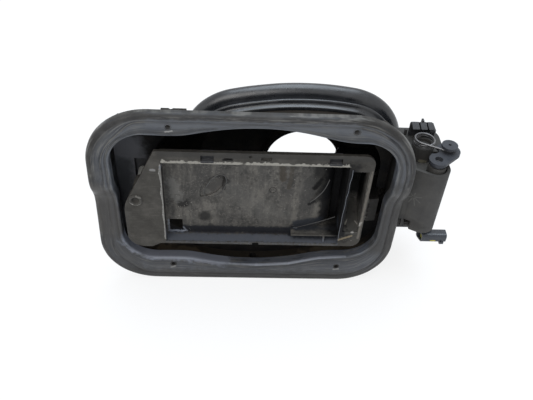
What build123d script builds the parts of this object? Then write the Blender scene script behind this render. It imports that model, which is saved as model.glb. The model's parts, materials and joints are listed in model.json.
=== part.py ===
from build123d import *
import os
from math import acos, atan2, cos, degrees, radians, sin

# Fuel filler flap module. The working frame has +X to the right seen from outside the car, +Y into the
# car and +Z up, from the middle of the front lip. The finished pieces are moved so that the origin is
# the middle of the filler neck opening at the pot's back wall. All lengths are in millimetres.

# Front flange and lip
FLANGE_TOP = 88.0
FLANGE_BOTTOM = -92.0
FLANGE_TOP_LEFT = -118.5
FLANGE_TOP_RIGHT = 119.0
FLANGE_LOW_LEFT = -121.5
FLANGE_LOW_RIGHT = 120.0
FLANGE_TOP_CORNER = 52.0
FLANGE_LOW_CORNER = 43.0
CREASE_DROP = 12.0
CREASE_TOP = 31.0
CREASE_BOTTOM = -8.0
LIP_FACE = 3.0
BEAD_W = 6.5
BEAD_DEPTH = 6.0
BEAD_ROUND = 2.8
GROOVE_W = 1.4
GROOVE_DEPTH = 0.8
LIP_SKIRT = 2.0
LIP_SKIRT_DEPTH = 9.0
LIP_HOLE_R = 1.8
UPPER_HOLES_MID_X = 6.1
UPPER_HOLES_SPACING = 128.2
UPPER_HOLES_Z = 77.8
LOWER_HOLES_MID_X = 6.8
LOWER_HOLES_SPACING = 138.0
LOWER_HOLES_Z = -73.4

# Opening of the lip
OPEN_LEFT = -101.0
OPEN_RIGHT = 105.0
OPEN_TOP_LEFT = 70.5
OPEN_TOP_RIGHT = 66.5
OPEN_BOTTOM_LEFT = -66.4
OPEN_BOTTOM_RIGHT = -61.0
OPEN_TOP_PEAK = 77.9
OPEN_BOTTOM_PEAK = -73.4
OPEN_CORNER = 26.0

# Pot
WALL = 2.5
ROOF_FRONT_Z = 84.0
ROOF_BACK_Z = 62.5
SHELF_Y = 30.0
BACK_Y = 72.0
WELL_LEFT = -75.0
WELL_RIGHT = 100.0
WELL_TOP = 56.0
WELL_BOTTOM = -52.0
WELL_CORNER = 34.0
COLLAR_X = 35.7
COLLAR_Z = -1.0
COLLAR_W = 159.0
COLLAR_H = 87.4
COLLAR_ARCH = 236.0
COLLAR_TILT = 2.5
NECK_X = 43.0
NECK_Z = 0.0
NECK_R = 30.0
NECK_WALL = 3.5
NECK_FRONT_Y = 64.0
NECK_END_Y = 78.0
DRAIN_X = 5.0
DRAIN_R = 5.0
DRAIN_BORE_R = 3.4
DRAIN_LENGTH = 14.0
HOOK_X = -56.0
HOOK_W = 18.0
HOOK_Y = 16.0
HOOK_TOP = 76.8

# Rear boot, measured outwards from the collar
BOOT_SLEEVE = 3.0
BOOT_BACK_GAP = 3.0
BOOT_RIDGE = 7.0
BOOT_RIDGE_IN = 5.5
BOOT_RIDGE_W = 3.2
BOOT_BEAD_R = 7.0
BOOT_BEAD_STEP = 10.5
BOOT_BEAD_BACK = 6.0
BOOT_SLEEVE_LAP = 3.0

# Flap carrier
FLAP_Y = 8.0
FLAP_SHEET = 2.5
FLAP_LEFT = -96.0
FLAP_RIGHT = 90.0
FLAP_TOP = 50.6
FLAP_TOP_LEFT = -70.4
FLAP_BOTTOM = -43.5
FLAP_LOBE = -47.6
TRAY_LEFT = -66.0
TRAY_RIGHT = 72.0
TRAY_TOP = 40.0
TRAY_BOTTOM = -41.2
TRAY_DEPTH = 12.0
TRAY_WALL = 2.0
BEND_X = 38.0
BEND_DEPTH = 25.0
CHANNEL_BOTTOM = -34.5
CHANNEL_TOP = 34.0
CAVITY_LEFT = 74.5
CAVITY_RIGHT = 87.0
CAVITY_TOP = 35.8
CAVITY_BOTTOM = -27.0
CLIP_W = 9.6
LEFT_CLIP_X = -32.4
RIGHT_CLIP_X = 61.0
BUFFER_X = -86.8
BUFFER_Z = 3.1
BUFFER_R = 5.6
BUFFER_STEM_R = 3.0

# Hinge
HINGE_X = 142.0
HINGE_Y = 24.0
SHAFT_R = 3.0
SHAFT_PLAY = 0.05
BUSH_R = 4.4
BUSH_FLANGE_R = 6.2
BUSH_FLANGE = 1.0
HUB_R = 7.8
END_PLAY = 0.2
ARM_ANGLE = 92.0
ARM_INNER_R = 40.5
ARM_T = 7.0
ARM_SKIN = 2.0
ARM_BOTTOM = -24.8
ARM_TOP = -1.0
HUB_TOP = 13.8

# Hinge housing
BOX_BOTTOM = -32.0
BOX_RIM = 28.6
BOX_DECK = 21.0
BOX_RIGHT = 152.7
ARM_SWEEP_GAP = 0.8
BOX_BACK = HINGE_Y + ARM_INNER_R + ARM_T + ARM_SWEEP_GAP + WALL
BOX_FRONT = 20.6
BOX_SHOULDER_X = 125.5
BOX_CORNER = 12.0
BARREL_R = 10.7
BEARING_R = 7.0
BEARING_TOP = 32.0
DECK_EDGE_Y = 44.0
COIL_X = 135.5
COIL_Y = 47.0
BOSS_R = 8.6
BOSS_TOP = 34.0
PEG_X = 125.0
PEG_Y = 66.0

# Lever and spring
LEVER_T = 2.5
LEVER_TOP = 37.0
LEVER_R = 7.5
POST_DX = 9.6
POST_DY = 11.1
POST_END_R = 9.3
POST_R = 3.0
POST_H = 3.5
POST_HEAD_R = 6.2
POST_HEAD_T = 2.0
WIRE_R = 0.75
COIL_R = 7.6
COIL_WHOLE_TURNS = 2
COIL_PITCH = 1.75
COIL_START_Z = 35.1
PIVOT_X = 143.5
PIVOT_Y = 62.5
PIN_BEND = 1.6
PIN_REACH = 2.6
WIRE_PLAY = 0.3
EYE_R = POST_R + WIRE_R + 0.3
EYE_WRAP = 215.0
ANCHOR_X = 136.6
ANCHOR_W = 18.4
ANCHOR_FRONT_Y = 57.5
ANCHOR_BACK_Y = 67.0
ANCHOR_TOP = 42.5
ANCHOR_ROOF = 2.1
ANCHOR_WALL = 3.0
PIVOT_WALL = 2.2

# Latch
LATCH_X = -83.0
LATCH_Z = 13.0
LATCH_LEFT = -91.0
LATCH_RIGHT = -76.7
LATCH_BOTTOM = -2.0
LATCH_TOP = 27.0
LATCH_END_Y = 66.0
LATCH_WALL = 1.8
PLUNGER_R = 3.5
PLUNGER_PLAY = 0.08
PLUNGER_TIP_Y = 21.5
PLUNGER_HEAD = 3.4
PLUNGER_OUT = 9.0
SOCKET_R = 5.2
SOCKET_END_Y = 20.5

# Lock actuator and its plug
CASE_LEFT = 119.0
CASE_RIGHT = 157.0
CASE_DEPTH = 28.0
NUT_X = 4.0
NUT_Y = 3.0
NUT_H = 5.1
NUT_DROP = 10.4
NUT_ROOM = 2.6
SPINDLE_REACH = 6.4
SPINDLE_PLAY = 0.1
CASE_TOP = BOX_BOTTOM
CASE_BOTTOM = -54.0
CASE_WALL = 2.0
LID_T = 2.0
BOLT_ANGLE = 110.0
BOLT_R = 2.0
BOLT_PLAY = 0.08
MOTOR_R = 7.0
PLUG_LEFT = 143.0
PLUG_RIGHT = 166.5
PLUG_FRONT = 20.0
PLUG_D = 9.0
PLUG_TOP = -41.6
PLUG_H = 8.6
PLUG_WALL = 1.2
NECK_LINK = 8.0
EAR_X = (BOX_RIGHT + 0.3, BOX_RIGHT + 2.7)
EAR_D = 4.5
EAR_TOP = -20.0

# Fasteners
SCREW_R = 1.5
SCREW_HEAD_R = 3.0
SCREW_HEAD = 2.0

# Placement that follows from the sizes above
BOOT_SLEEVE_Y = BACK_Y + BOOT_BACK_GAP
BOOT_RIDGE_Y = BOOT_SLEEVE_Y + BOOT_RIDGE_IN
BOOT_BEAD_Y = BOOT_RIDGE_Y + BOOT_BEAD_STEP
BOOT_END_Y = BOOT_BEAD_Y + BOOT_BEAD_BACK
BOOT_SLEEVE_END_Y = BOOT_BEAD_Y - BOOT_SLEEVE_LAP
COLLAR_END_Y = BOOT_BEAD_Y - BOOT_BEAD_R
SPAN = FLANGE_LOW_RIGHT - FLANGE_LOW_LEFT
SWELL_LEFT = -45.0
SWELL_RIGHT = 62.0
SWELL_MID = 8.0
SWELL_BLEND = 40.0
FLAP_SLANT_Z = -3.0
FLAP_CORNER = 8.0
LOBE_CORNER = 13.0
SLANT_CORNER = 24.0
TIP_CORNER = 1.5
BEND_RUN = 28.0
END_SPLIT = radians(12)
FLOOR_RIB_X = 60.0
FLOOR_RIB_W = 1.4
BARREL_TANGENT = 245.0
BOX_LEFT = OPEN_RIGHT - 5.0
WINDOW_BACK_Y = 65.5
POCKET_LEFT = OPEN_RIGHT + 9.0
POCKET_RIBS = (119.0, 127.0)
UPPER_BOSS_Z = HUB_TOP + END_PLAY + BUSH_FLANGE
LOWER_BOSS_Z = ARM_BOTTOM - END_PLAY - BUSH_FLANGE
PEG_TOP = BOX_RIM + 5.0
FOOT_RIGHT = 131.0
FOOT_TOP = BOX_BOTTOM + 9.0
FOOT_RIB_X = (114.0, 119.5, 124.0)
FOOT_GAP = 0.6
RIB_W = 1.6
ARM_END_ANGLE = 186.0
ARM_RIB_ANGLES = (120.0, 140.0, 160.0)
ROOT_W = 6.0
POST_MID_Z = LEVER_TOP + POST_H / 2
LATCH_NOSE_D = 6.0
LATCH_EAR_Y = SHELF_Y + WALL + 6.0
LATCH_WINDOW_LEFT = LATCH_X - 5.5
LATCH_WINDOW_RIGHT = LATCH_X + 3.5
LATCH_SCREWS = ((-84.5, LATCH_TOP + 5.0), (-84.5, LATCH_BOTTOM - 5.0))
PLUNGER_BACK_Y = LATCH_END_Y - 6.0
ALMOND_X = -29.5
ALMOND_Z = 9.0
ALMOND_TILT = 52.0
ALMOND_L = 31.0
ALMOND_W = 13.5
ALMOND_DEPTH = 1.1
SQUARE_X = (-64.0, -53.5)
SQUARE_Z = (-40.5, -28.0)
MARK_X = 17.6
MARK_Z = 5.6
MARK_R = 3.0
MARK_LINE = 0.7
BAND_SLOT_X = (-20.3, -14.3)
BAND_SLOT_Z = (44.6, 45.8)
BAND_POCKET_X = (6.5, 14.0)
BAND_POCKET_Z = (44.4, 47.6)
BAND_DOT_X = -1.3
BAND_DOT_Z = 47.6
BAND_DOT_R = 1.3
LOW_NOTCH_X = (2.8, 8.2)
CASE_SCREW_X = (124.0, 148.5)
CASE_SCREW_IN = (5.0, 6.0)
SCREW_GRIP = 5.0
MOTOR_LEFT = 133.0
NUT_TOP = CASE_TOP - NUT_DROP
LOCK_Y = HINGE_Y + (ARM_INNER_R + (ARM_T - ARM_SKIN) / 2) * sin(radians(BOLT_ANGLE))
CASE_BACK = LOCK_Y + NUT_Y + NUT_ROOM + CASE_WALL
CASE_FRONT = CASE_BACK - CASE_DEPTH
CASE_SCREWS = tuple(zip(CASE_SCREW_X, [CASE_FRONT + inset for inset in CASE_SCREW_IN]))
LOCK_TIP_Z = BOX_BOTTOM + 5.5
SPINDLE_R = 1.4
WHEEL_R = 4.0
PLUG_DEPTH = 16.0
PLUG_CORNER = 2.6
PLUG_BORE_CORNER = 1.6
WAY_OFFSET = 1.6
WAY_R = 0.8
PIN_W = 0.8
PIN_T = 0.6
PLUG_KEY_X = (153.0, 158.0)
PLUG_KEY_Z = (PLUG_TOP - PLUG_H + 1.6, PLUG_TOP - PLUG_H + 3.0)


def block(x, y, z):
    """Box between two corners given as (low, high) pairs."""
    size = [b - a for a, b in (x, y, z)]
    middle = [(a + b) / 2 for a, b in (x, y, z)]
    return Pos(*middle) * Box(*size)


def post(x, y, z, radius):
    """Upright cylinder; z is a (low, high) pair."""
    return Pos(x, y, (z[0] + z[1]) / 2) * Cylinder(radius, z[1] - z[0])


def rod(x, y, z, radius):
    """Cylinder along Y; y is a (low, high) pair."""
    return Pos(x, (y[0] + y[1]) / 2, z) * Rot(90, 0, 0) * Cylinder(radius, y[1] - y[0])


def bar(x, y, z, radius):
    """Cylinder along X; x is a (low, high) pair."""
    return Pos((x[0] + x[1]) / 2, y, z) * Rot(0, 90, 0) * Cylinder(radius, x[1] - x[0])


def prism_y(sketch, y0, y1):
    """Sketch in the XZ plane, pulled from y0 to y1."""
    plane = Plane(origin=(0, y0, 0), x_dir=(1, 0, 0), z_dir=(0, -1, 0))
    return extrude(plane * sketch, amount=-(y1 - y0))


def prism_z(sketch, z0, z1):
    """Sketch in the XY plane, pulled from z0 to z1."""
    return extrude(Plane.XY.offset(z0) * sketch, amount=z1 - z0)


def grown(sketch, amount):
    """Sketch with its outline moved outwards by amount."""
    return offset(sketch, amount=amount, kind=Kind.ARC)


def group(pieces):
    """Several solids as one piece."""
    return Compound(children=pieces)


def biggest(shape):
    """The largest solid of a shape, without slivers cut off beside it."""
    return max(shape.solids(), key=lambda s: s.volume)


def hinge_point(radius, angle):
    """Point in plan at a radius and angle round the hinge."""
    return (HINGE_X + radius * cos(radians(angle)), HINGE_Y + radius * sin(radians(angle)))


# Outlines


def flange_outline():
    top = [(FLANGE_TOP_LEFT, FLANGE_TOP), (FLANGE_TOP_RIGHT, FLANGE_TOP)]
    low = [(FLANGE_LOW_RIGHT, FLANGE_BOTTOM), (FLANGE_LOW_LEFT, FLANGE_BOTTOM)]
    face = Sketch() + make_face(Polyline(*top, *low, close=True))
    face = fillet([near(face, *point)[0] for point in top], FLANGE_TOP_CORNER)
    return fillet([near(face, *point)[0] for point in low], FLANGE_LOW_CORNER)


def opening_outline():
    """Rounded opening whose upper and lower edges swell in the middle."""
    low_start = (SWELL_LEFT, OPEN_BOTTOM_LEFT)
    low_end = (SWELL_RIGHT, OPEN_BOTTOM_RIGHT - 1.0)
    high_start = (SWELL_RIGHT, OPEN_TOP_RIGHT + 1.0)
    high_end = (SWELL_LEFT, OPEN_TOP_LEFT)
    edges = [
        Line((OPEN_LEFT, OPEN_BOTTOM_LEFT), low_start),
        ThreePointArc(low_start, (SWELL_MID, OPEN_BOTTOM_PEAK), low_end),
        Line(low_end, (OPEN_RIGHT, OPEN_BOTTOM_RIGHT)),
        Line((OPEN_RIGHT, OPEN_BOTTOM_RIGHT), (OPEN_RIGHT, OPEN_TOP_RIGHT)),
        Line((OPEN_RIGHT, OPEN_TOP_RIGHT), high_start),
        ThreePointArc(high_start, (SWELL_MID, OPEN_TOP_PEAK), high_end),
        Line(high_end, (OPEN_LEFT, OPEN_TOP_LEFT)),
        Line((OPEN_LEFT, OPEN_TOP_LEFT), (OPEN_LEFT, OPEN_BOTTOM_LEFT)),
    ]
    face = Sketch() + make_face(edges)
    corners = [v for v in face.vertices() if abs(v.X - OPEN_LEFT) < 1 or abs(v.X - OPEN_RIGHT) < 1]
    face = fillet(corners, OPEN_CORNER)
    joints = [v for v in face.vertices() if min(abs(v.X - SWELL_LEFT), abs(v.X - SWELL_RIGHT)) < 0.01]
    return fillet(joints, SWELL_BLEND)


def collar_outline(extra):
    """Oval of the rear collar from tangent arcs, grown by extra; its ends are split like a rounded oblong."""
    half_w = COLLAR_W / 2
    half_h = COLLAR_H / 2
    rise = COLLAR_ARCH - half_h
    end_r = (COLLAR_ARCH**2 - half_w**2 - rise**2) / (2 * (COLLAR_ARCH - half_w))
    end_x = half_w - end_r
    tilt = atan2(rise, end_x)
    edges = []
    for quarter in range(4):
        side_x = 1 if quarter in (0, 3) else -1
        side_z = 1 if quarter < 2 else -1
        angles = (END_SPLIT, (END_SPLIT + tilt) / 2, tilt)
        points = [
            (
                COLLAR_X + side_x * (end_x + (end_r + extra) * cos(angle)),
                COLLAR_Z + side_z * (end_r + extra) * sin(angle),
            )
            for angle in angles
        ]
        edges.append((points, side_x * side_z))
    high = COLLAR_Z + half_h + extra
    low = COLLAR_Z - half_h - extra
    right = COLLAR_X + half_w + extra
    left = COLLAR_X - half_w - extra
    (right_top, _), (left_top, _), (left_low, _), (right_low, _) = edges
    arcs = [
        ThreePointArc(right_low[0], (right, COLLAR_Z), right_top[0]),
        ThreePointArc(*right_top),
        ThreePointArc(right_top[2], (COLLAR_X, high), left_top[2]),
        ThreePointArc(*reversed(left_top)),
        ThreePointArc(left_top[0], (left, COLLAR_Z), left_low[0]),
        ThreePointArc(*left_low),
        ThreePointArc(left_low[2], (COLLAR_X, low), right_low[2]),
        ThreePointArc(*reversed(right_low)),
    ]
    oval = Pos(-COLLAR_X, -COLLAR_Z) * (Sketch() + make_face(arcs))
    return Pos(COLLAR_X, COLLAR_Z) * Rot(0, 0, COLLAR_TILT) * oval


def well_outline(extra):
    """Outline of the deep well at the shelf, grown by extra."""
    width = WELL_RIGHT - WELL_LEFT + 2 * extra
    height = WELL_TOP - WELL_BOTTOM + 2 * extra
    middle = ((WELL_RIGHT + WELL_LEFT) / 2, (WELL_TOP + WELL_BOTTOM) / 2)
    return Pos(*middle) * RectangleRounded(width, height, WELL_CORNER + extra)


def carrier_outline():
    """Outline of the flap carrier, with its slanted left side and lower left lobe."""
    points = [
        (FLAP_TOP_LEFT, FLAP_TOP),
        (FLAP_RIGHT, FLAP_TOP),
        (FLAP_RIGHT, FLAP_BOTTOM),
        (FLAP_TOP_LEFT, FLAP_BOTTOM),
        (FLAP_TOP_LEFT - 7.0, FLAP_LOBE),
        (FLAP_LEFT, FLAP_LOBE),
        (FLAP_LEFT, FLAP_SLANT_Z),
    ]
    face = Sketch() + make_face(Polyline(*points, close=True))
    face = fillet(near(face, FLAP_RIGHT, FLAP_TOP) + near(face, FLAP_RIGHT, FLAP_BOTTOM), FLAP_CORNER)
    face = fillet(near(face, FLAP_LEFT, FLAP_LOBE), LOBE_CORNER)
    face = fillet(near(face, FLAP_LEFT, FLAP_SLANT_Z), SLANT_CORNER)
    return fillet(near(face, FLAP_TOP_LEFT, FLAP_TOP), TIP_CORNER)


def near(face, x, y):
    """Vertices of a sketch at one place."""
    return [v for v in face.vertices() if abs(v.X - x) + abs(v.Y - y) < 0.01]


def box_plan(shrink):
    """Plan of the hinge housing, with its barrel round the hinge, moved inwards by shrink."""
    corner = (BOX_RIGHT, BOX_BACK)
    points = [
        (BOX_LEFT, BOX_FRONT),
        (BOX_SHOULDER_X, BOX_FRONT),
        hinge_point(BARREL_R, BARREL_TANGENT),
        (BOX_RIGHT, HINGE_Y),
        corner,
        (BOX_LEFT, BOX_BACK),
    ]
    face = Sketch() + make_face(Polyline(*points, close=True))
    face = fillet(near(face, *corner), BOX_CORNER)
    face = face + Pos(HINGE_X, HINGE_Y) * Circle(BARREL_R)
    return offset(face, amount=-shrink, kind=Kind.INTERSECTION) if shrink else face


def slab(y0, y1):
    """Plate across the whole flange between two depths, with the crease that sets its lower half back."""
    reach = SPAN
    low0, low1 = y0 + CREASE_DROP, y1 + CREASE_DROP
    middle = (CREASE_TOP + CREASE_BOTTOM) / 2
    edges = [
        Line((y0, reach), (y0, CREASE_TOP)),
        Bezier((y0, CREASE_TOP), (y0, middle), (low0, middle), (low0, CREASE_BOTTOM)),
        Line((low0, CREASE_BOTTOM), (low0, -reach)),
        Line((low0, -reach), (low1, -reach)),
        Line((low1, -reach), (low1, CREASE_BOTTOM)),
        Bezier((low1, CREASE_BOTTOM), (low1, middle), (y1, middle), (y1, CREASE_TOP)),
        Line((y1, CREASE_TOP), (y1, reach)),
        Line((y1, reach), (y0, reach)),
    ]
    side = Plane.YZ.offset(-SPAN) * make_face(edges)
    return extrude(side, amount=2 * SPAN)


def creased(sketch, y0, y1):
    """Sketch pulled between two depths that follow the crease."""
    return prism_y(sketch, -BEAD_DEPTH, BACK_Y) & slab(y0, y1)


# Lip and pot


def lip_holes():
    """The four small holes through lip and flange."""
    holes = []
    for mid, spacing, z in (
        (UPPER_HOLES_MID_X, UPPER_HOLES_SPACING, UPPER_HOLES_Z),
        (LOWER_HOLES_MID_X, LOWER_HOLES_SPACING, LOWER_HOLES_Z),
    ):
        for side in (-0.5, 0.5):
            holes.append(rod(mid + side * spacing, (-5, SHELF_Y - 6), z, LIP_HOLE_R))
    return holes


def lip_blank():
    """Lip before its edges are rounded: face band, outer bead and inner skirt."""
    outline = flange_outline()
    opening = opening_outline()
    band = creased(outline - opening, 0, LIP_FACE)
    bead = creased(outline - grown(outline, -BEAD_W), 0, BEAD_DEPTH)
    return band + bead + creased(grown(opening, LIP_SKIRT) - opening, 0, LIP_SKIRT_DEPTH)


def lip_seal():
    lip = lip_blank()
    outline = flange_outline()
    core = prism_y(grown(outline, -0.05), -BEAD_DEPTH, BACK_Y)
    lip = fillet([e for e in lip.edges() if on_front(e, core)], BEAD_ROUND)
    groove = grown(outline, -BEAD_W) - grown(outline, -BEAD_W - GROOVE_W)
    return lip - creased(groove, -1, GROOVE_DEPTH) - lip_holes()


def on_front(edge, core):
    """True for an edge of the lip's front face on the outer outline, outside a slightly smaller core."""
    middle = edge.position_at(0.5)
    if core.is_inside(middle):
        return False
    ends = sorted((edge.position_at(0.0), edge.position_at(1.0)), key=lambda p: p.Z)
    if CREASE_BOTTOM < middle.Z < CREASE_TOP:
        return abs(ends[0].Y - CREASE_DROP) < 0.01 and abs(ends[1].Y) < 0.01
    depth = 0 if middle.Z > CREASE_BOTTOM else CREASE_DROP
    return all(abs(p.Y - depth) < 0.01 for p in ends)


def rim_outline():
    return grown(opening_outline(), LIP_SKIRT + WALL)


def under_roof(shrink):
    """Space below the pot's sloping roof, lowered by shrink."""
    profile = [
        (-BEAD_DEPTH, -SPAN),
        (-BEAD_DEPTH, SPAN),
        (LIP_FACE, SPAN),
        (LIP_FACE, ROOF_FRONT_Z - shrink),
        (SHELF_Y + WALL, ROOF_BACK_Z + WALL - shrink),
        (SHELF_Y + WALL, -SPAN),
    ]
    return extrude(Plane.YZ.offset(-SPAN) * make_face(Polyline(*profile, close=True)), amount=2 * SPAN)


def pot_envelope():
    """The pot's outside as one solid, which its neighbours are cut to."""
    rim = prism_y(rim_outline(), -BEAD_DEPTH, SHELF_Y + WALL) & slab(LIP_FACE, BACK_Y) & under_roof(0)
    flange = creased(grown(flange_outline(), -BEAD_W), LIP_FACE, LIP_FACE + WALL)
    well = loft_y(well_outline(WALL), SHELF_Y, collar_outline(0), BACK_Y)
    collar = prism_y(collar_outline(0), BACK_Y, COLLAR_END_Y)
    return rim + flange + well + collar


def loft_y(front, y0, back, y1):
    """Tapering solid between two outlines at two depths."""
    planes = [Plane(origin=(0, y, 0), x_dir=(1, 0, 0), z_dir=(0, -1, 0)) for y in (y0, y1)]
    return loft([planes[0] * front.face(), planes[1] * back.face()], ruled=True)


def pot_hollow():
    """Everything inside the pot's walls, in front of the back wall."""
    rim = prism_y(grown(opening_outline(), LIP_SKIRT), -BEAD_DEPTH, SHELF_Y) & under_roof(WALL)
    return rim + loft_y(well_outline(0), SHELF_Y, collar_outline(-WALL), BACK_Y)


def arm_window():
    """Passage of the flap's arm through the pot's right wall."""
    return block(
        (OPEN_RIGHT - 15, BOX_LEFT + 20),
        (BOX_FRONT + WALL - 0.3, WINDOW_BACK_Y),
        (ARM_BOTTOM - WALL, ARM_TOP + WALL),
    )


def pot_shell():
    pot = pot_envelope() - pot_hollow()
    pot = pot - prism_y(collar_outline(-WALL), BACK_Y + WALL, COLLAR_END_Y + 1)
    pot = pot + rod(NECK_X, (NECK_FRONT_Y, NECK_END_Y), NECK_Z, NECK_R + NECK_WALL)
    pot = pot - rod(NECK_X, (NECK_FRONT_Y - 1, NECK_END_Y + 1), NECK_Z, NECK_R)
    pot = pot - arm_window()
    pot = pot - block(
        (LATCH_WINDOW_LEFT, LATCH_WINDOW_RIGHT),
        (SHELF_Y - 1, SHELF_Y + WALL + 1),
        (LATCH_BOTTOM + 4, LATCH_TOP - 1),
    )
    drain_y = (SHELF_Y + CREASE_DROP + LIP_FACE + WALL) / 2 + 1.5
    drain_z = OPEN_BOTTOM_PEAK - LIP_SKIRT
    pot = pot + post(DRAIN_X, drain_y, (drain_z - WALL - DRAIN_LENGTH, drain_z), DRAIN_R)
    pot = pot - post(DRAIN_X, drain_y, (drain_z - DRAIN_LENGTH - 9, drain_z + 4), DRAIN_BORE_R)
    hook = block((HOOK_X - HOOK_W / 2, HOOK_X + HOOK_W / 2), (HOOK_Y, HOOK_Y + 8), (0, HOOK_TOP))
    pot = pot + (hook - pot_envelope())
    for x, z in LATCH_SCREWS:
        pot = pot + (rod(x, (SHELF_Y, LATCH_EAR_Y), z, SCREW_HEAD_R) - pot_hollow())
        pot = pot - rod(x, (SHELF_Y + 1, LATCH_EAR_Y + 1), z, SCREW_R)
    return pot - lip_blank() - lip_holes()


def neck_boot():
    """Soft boot round the rear collar: sleeve, front ridge, and a thick rear bead with a flat back."""
    sleeve = ring(BOOT_SLEEVE, BOOT_SLEEVE_Y, BOOT_SLEEVE_END_Y)
    ridge = ring(BOOT_RIDGE, BOOT_RIDGE_Y - BOOT_RIDGE_W / 2, BOOT_RIDGE_Y + BOOT_RIDGE_W / 2)
    ridge = fillet(outer_edges(ridge, BOOT_RIDGE), BOOT_RIDGE_W / 2 - 0.1)
    bead = ring(2 * BOOT_BEAD_R, BOOT_BEAD_Y - BOOT_BEAD_R, BOOT_END_Y)
    front = [e for e in outer_edges(bead, 2 * BOOT_BEAD_R) if e.center().Y < BOOT_BEAD_Y]
    bead = fillet(front, BOOT_BEAD_R - 0.6)
    back = [e for e in outer_edges(bead, 2 * BOOT_BEAD_R) if e.center().Y > BOOT_END_Y - 0.01]
    bead = fillet(back, BOOT_BEAD_BACK - 0.6)
    return sleeve + ridge + bead


def ring(thickness, y0, y1):
    """Ring round the rear collar between two depths."""
    return prism_y(collar_outline(thickness) - collar_outline(0), y0, y1)


def outer_edges(body, extra):
    """Edges of a ring on the collar's outline grown by extra."""
    core = prism_y(collar_outline(extra - 0.05), BOOT_SLEEVE_Y - 5, BOOT_END_Y + 5)
    return [e for e in body.edges() if not core.is_inside(e.position_at(0.5))]


# Hinge housing


def hinge_housing():
    plan = box_plan(0)
    inner = box_plan(WALL)
    body = prism_z(plan, BOX_BOTTOM, BOX_RIM)
    lower = block((BOX_LEFT - 1, BOX_LEFT + 20), (BOX_FRONT + WALL, BOX_BACK - WALL), (-60, 60))
    inside = prism_z(inner, BOX_BOTTOM + WALL, BOX_DECK - WALL)
    inside = inside + (lower & prism_z(Rectangle(2 * SPAN, 2 * SPAN), BOX_BOTTOM + WALL, BOX_DECK - WALL))
    rear = block((BOX_LEFT + WALL, BOX_RIGHT), (DECK_EDGE_Y + WALL, BOX_BACK), (-60, 60))
    inside = inside + (rear & prism_z(inner, 0, BOX_RIM - WALL))
    pocket = block((POCKET_LEFT, BOX_RIGHT), (0, DECK_EDGE_Y), (-60, 60))
    pocket = pocket & prism_z(inner, BOX_DECK, BOX_RIM + 1)
    boss = post(COIL_X, COIL_Y, (BOX_DECK - 1, BOSS_TOP), BOSS_R)
    dish = post(COIL_X, COIL_Y, (BOSS_TOP - 2.4, BOSS_TOP + 1), BOSS_R - 2.0)
    body = body - inside - pocket
    for x in POCKET_RIBS:
        body = body + block((x, x + RIB_W), (BOX_FRONT + 1, DECK_EDGE_Y + 1), (BOX_DECK - 1, BOX_DECK + 4))
    body = body + boss - dish
    body = body + post(HINGE_X, HINGE_Y, (UPPER_BOSS_Z, BEARING_TOP), BEARING_R)
    body = body + post(HINGE_X, HINGE_Y, (BOX_BOTTOM, LOWER_BOSS_Z), BEARING_R)
    body = body - post(HINGE_X, HINGE_Y, (BOX_BOTTOM - 1, LOWER_BOSS_Z + 1), BUSH_R)
    body = body - post(HINGE_X, HINGE_Y, (UPPER_BOSS_Z - 1, BEARING_TOP + 1), BUSH_R)
    body = body + post(PEG_X, PEG_Y, (BOX_RIM - 1, PEG_TOP), 1.2)
    body = body - lock_passage()
    body = body - foot_recess() + foot_ribs()
    for x, y in CASE_SCREWS:
        body = body + post(x, y, (BOX_BOTTOM, BOX_BOTTOM + 7), SCREW_HEAD_R)
        body = body - post(x, y, (BOX_BOTTOM - 1, BOX_BOTTOM + 6), SCREW_R)
    return biggest(body - pot_envelope())


def lock_point():
    """Place of the locking pin in plan, in the middle of the arm's band."""
    return hinge_point(ARM_INNER_R + (ARM_T - ARM_SKIN) / 2, BOLT_ANGLE)


def lock_passage():
    x, y = lock_point()
    return post(x, y, (BOX_BOTTOM - 1, BOX_BOTTOM + WALL + 1), BOLT_R + BOLT_PLAY)


def foot_recess():
    """Open corner low on the housing's front wall, left of the barrel."""
    return block((BOX_LEFT - 1, FOOT_RIGHT), (BOX_FRONT - 9, BOX_FRONT + WALL), (BOX_BOTTOM - 1, FOOT_TOP))


def foot_ribs():
    """Low back plate, upright ribs and a nub in the open corner."""
    plate_y = (BOX_FRONT + WALL - 1, BOX_FRONT + WALL + 1)
    ribs = block((BOX_LEFT, FOOT_RIGHT - 4), plate_y, (BOX_BOTTOM, ARM_BOTTOM - FOOT_GAP))
    for x in FOOT_RIB_X:
        ribs = ribs + block((x, x + RIB_W), (BOX_FRONT, plate_y[1] - 1.1), (BOX_BOTTOM, FOOT_TOP + 0.5))
    nub_y = (plate_y[0], plate_y[1] + 1)
    return ribs + block((FOOT_RIGHT - 3, FOOT_RIGHT), nub_y, (BOX_BOTTOM - 1.5, BOX_BOTTOM + 1))


def bush(z_flange, z_end, up):
    """Flanged bush; the flange lies between the bearing and the hub."""
    tube_z = (z_flange + BUSH_FLANGE, z_end) if up else (z_end, z_flange)
    tube = post(HINGE_X, HINGE_Y, tube_z, BUSH_R)
    collar = post(HINGE_X, HINGE_Y, (z_flange, z_flange + BUSH_FLANGE), BUSH_FLANGE_R)
    bore = post(HINGE_X, HINGE_Y, (BOX_BOTTOM - 1, BEARING_TOP + 1), SHAFT_R + SHAFT_PLAY)
    return tube + collar - bore


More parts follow.
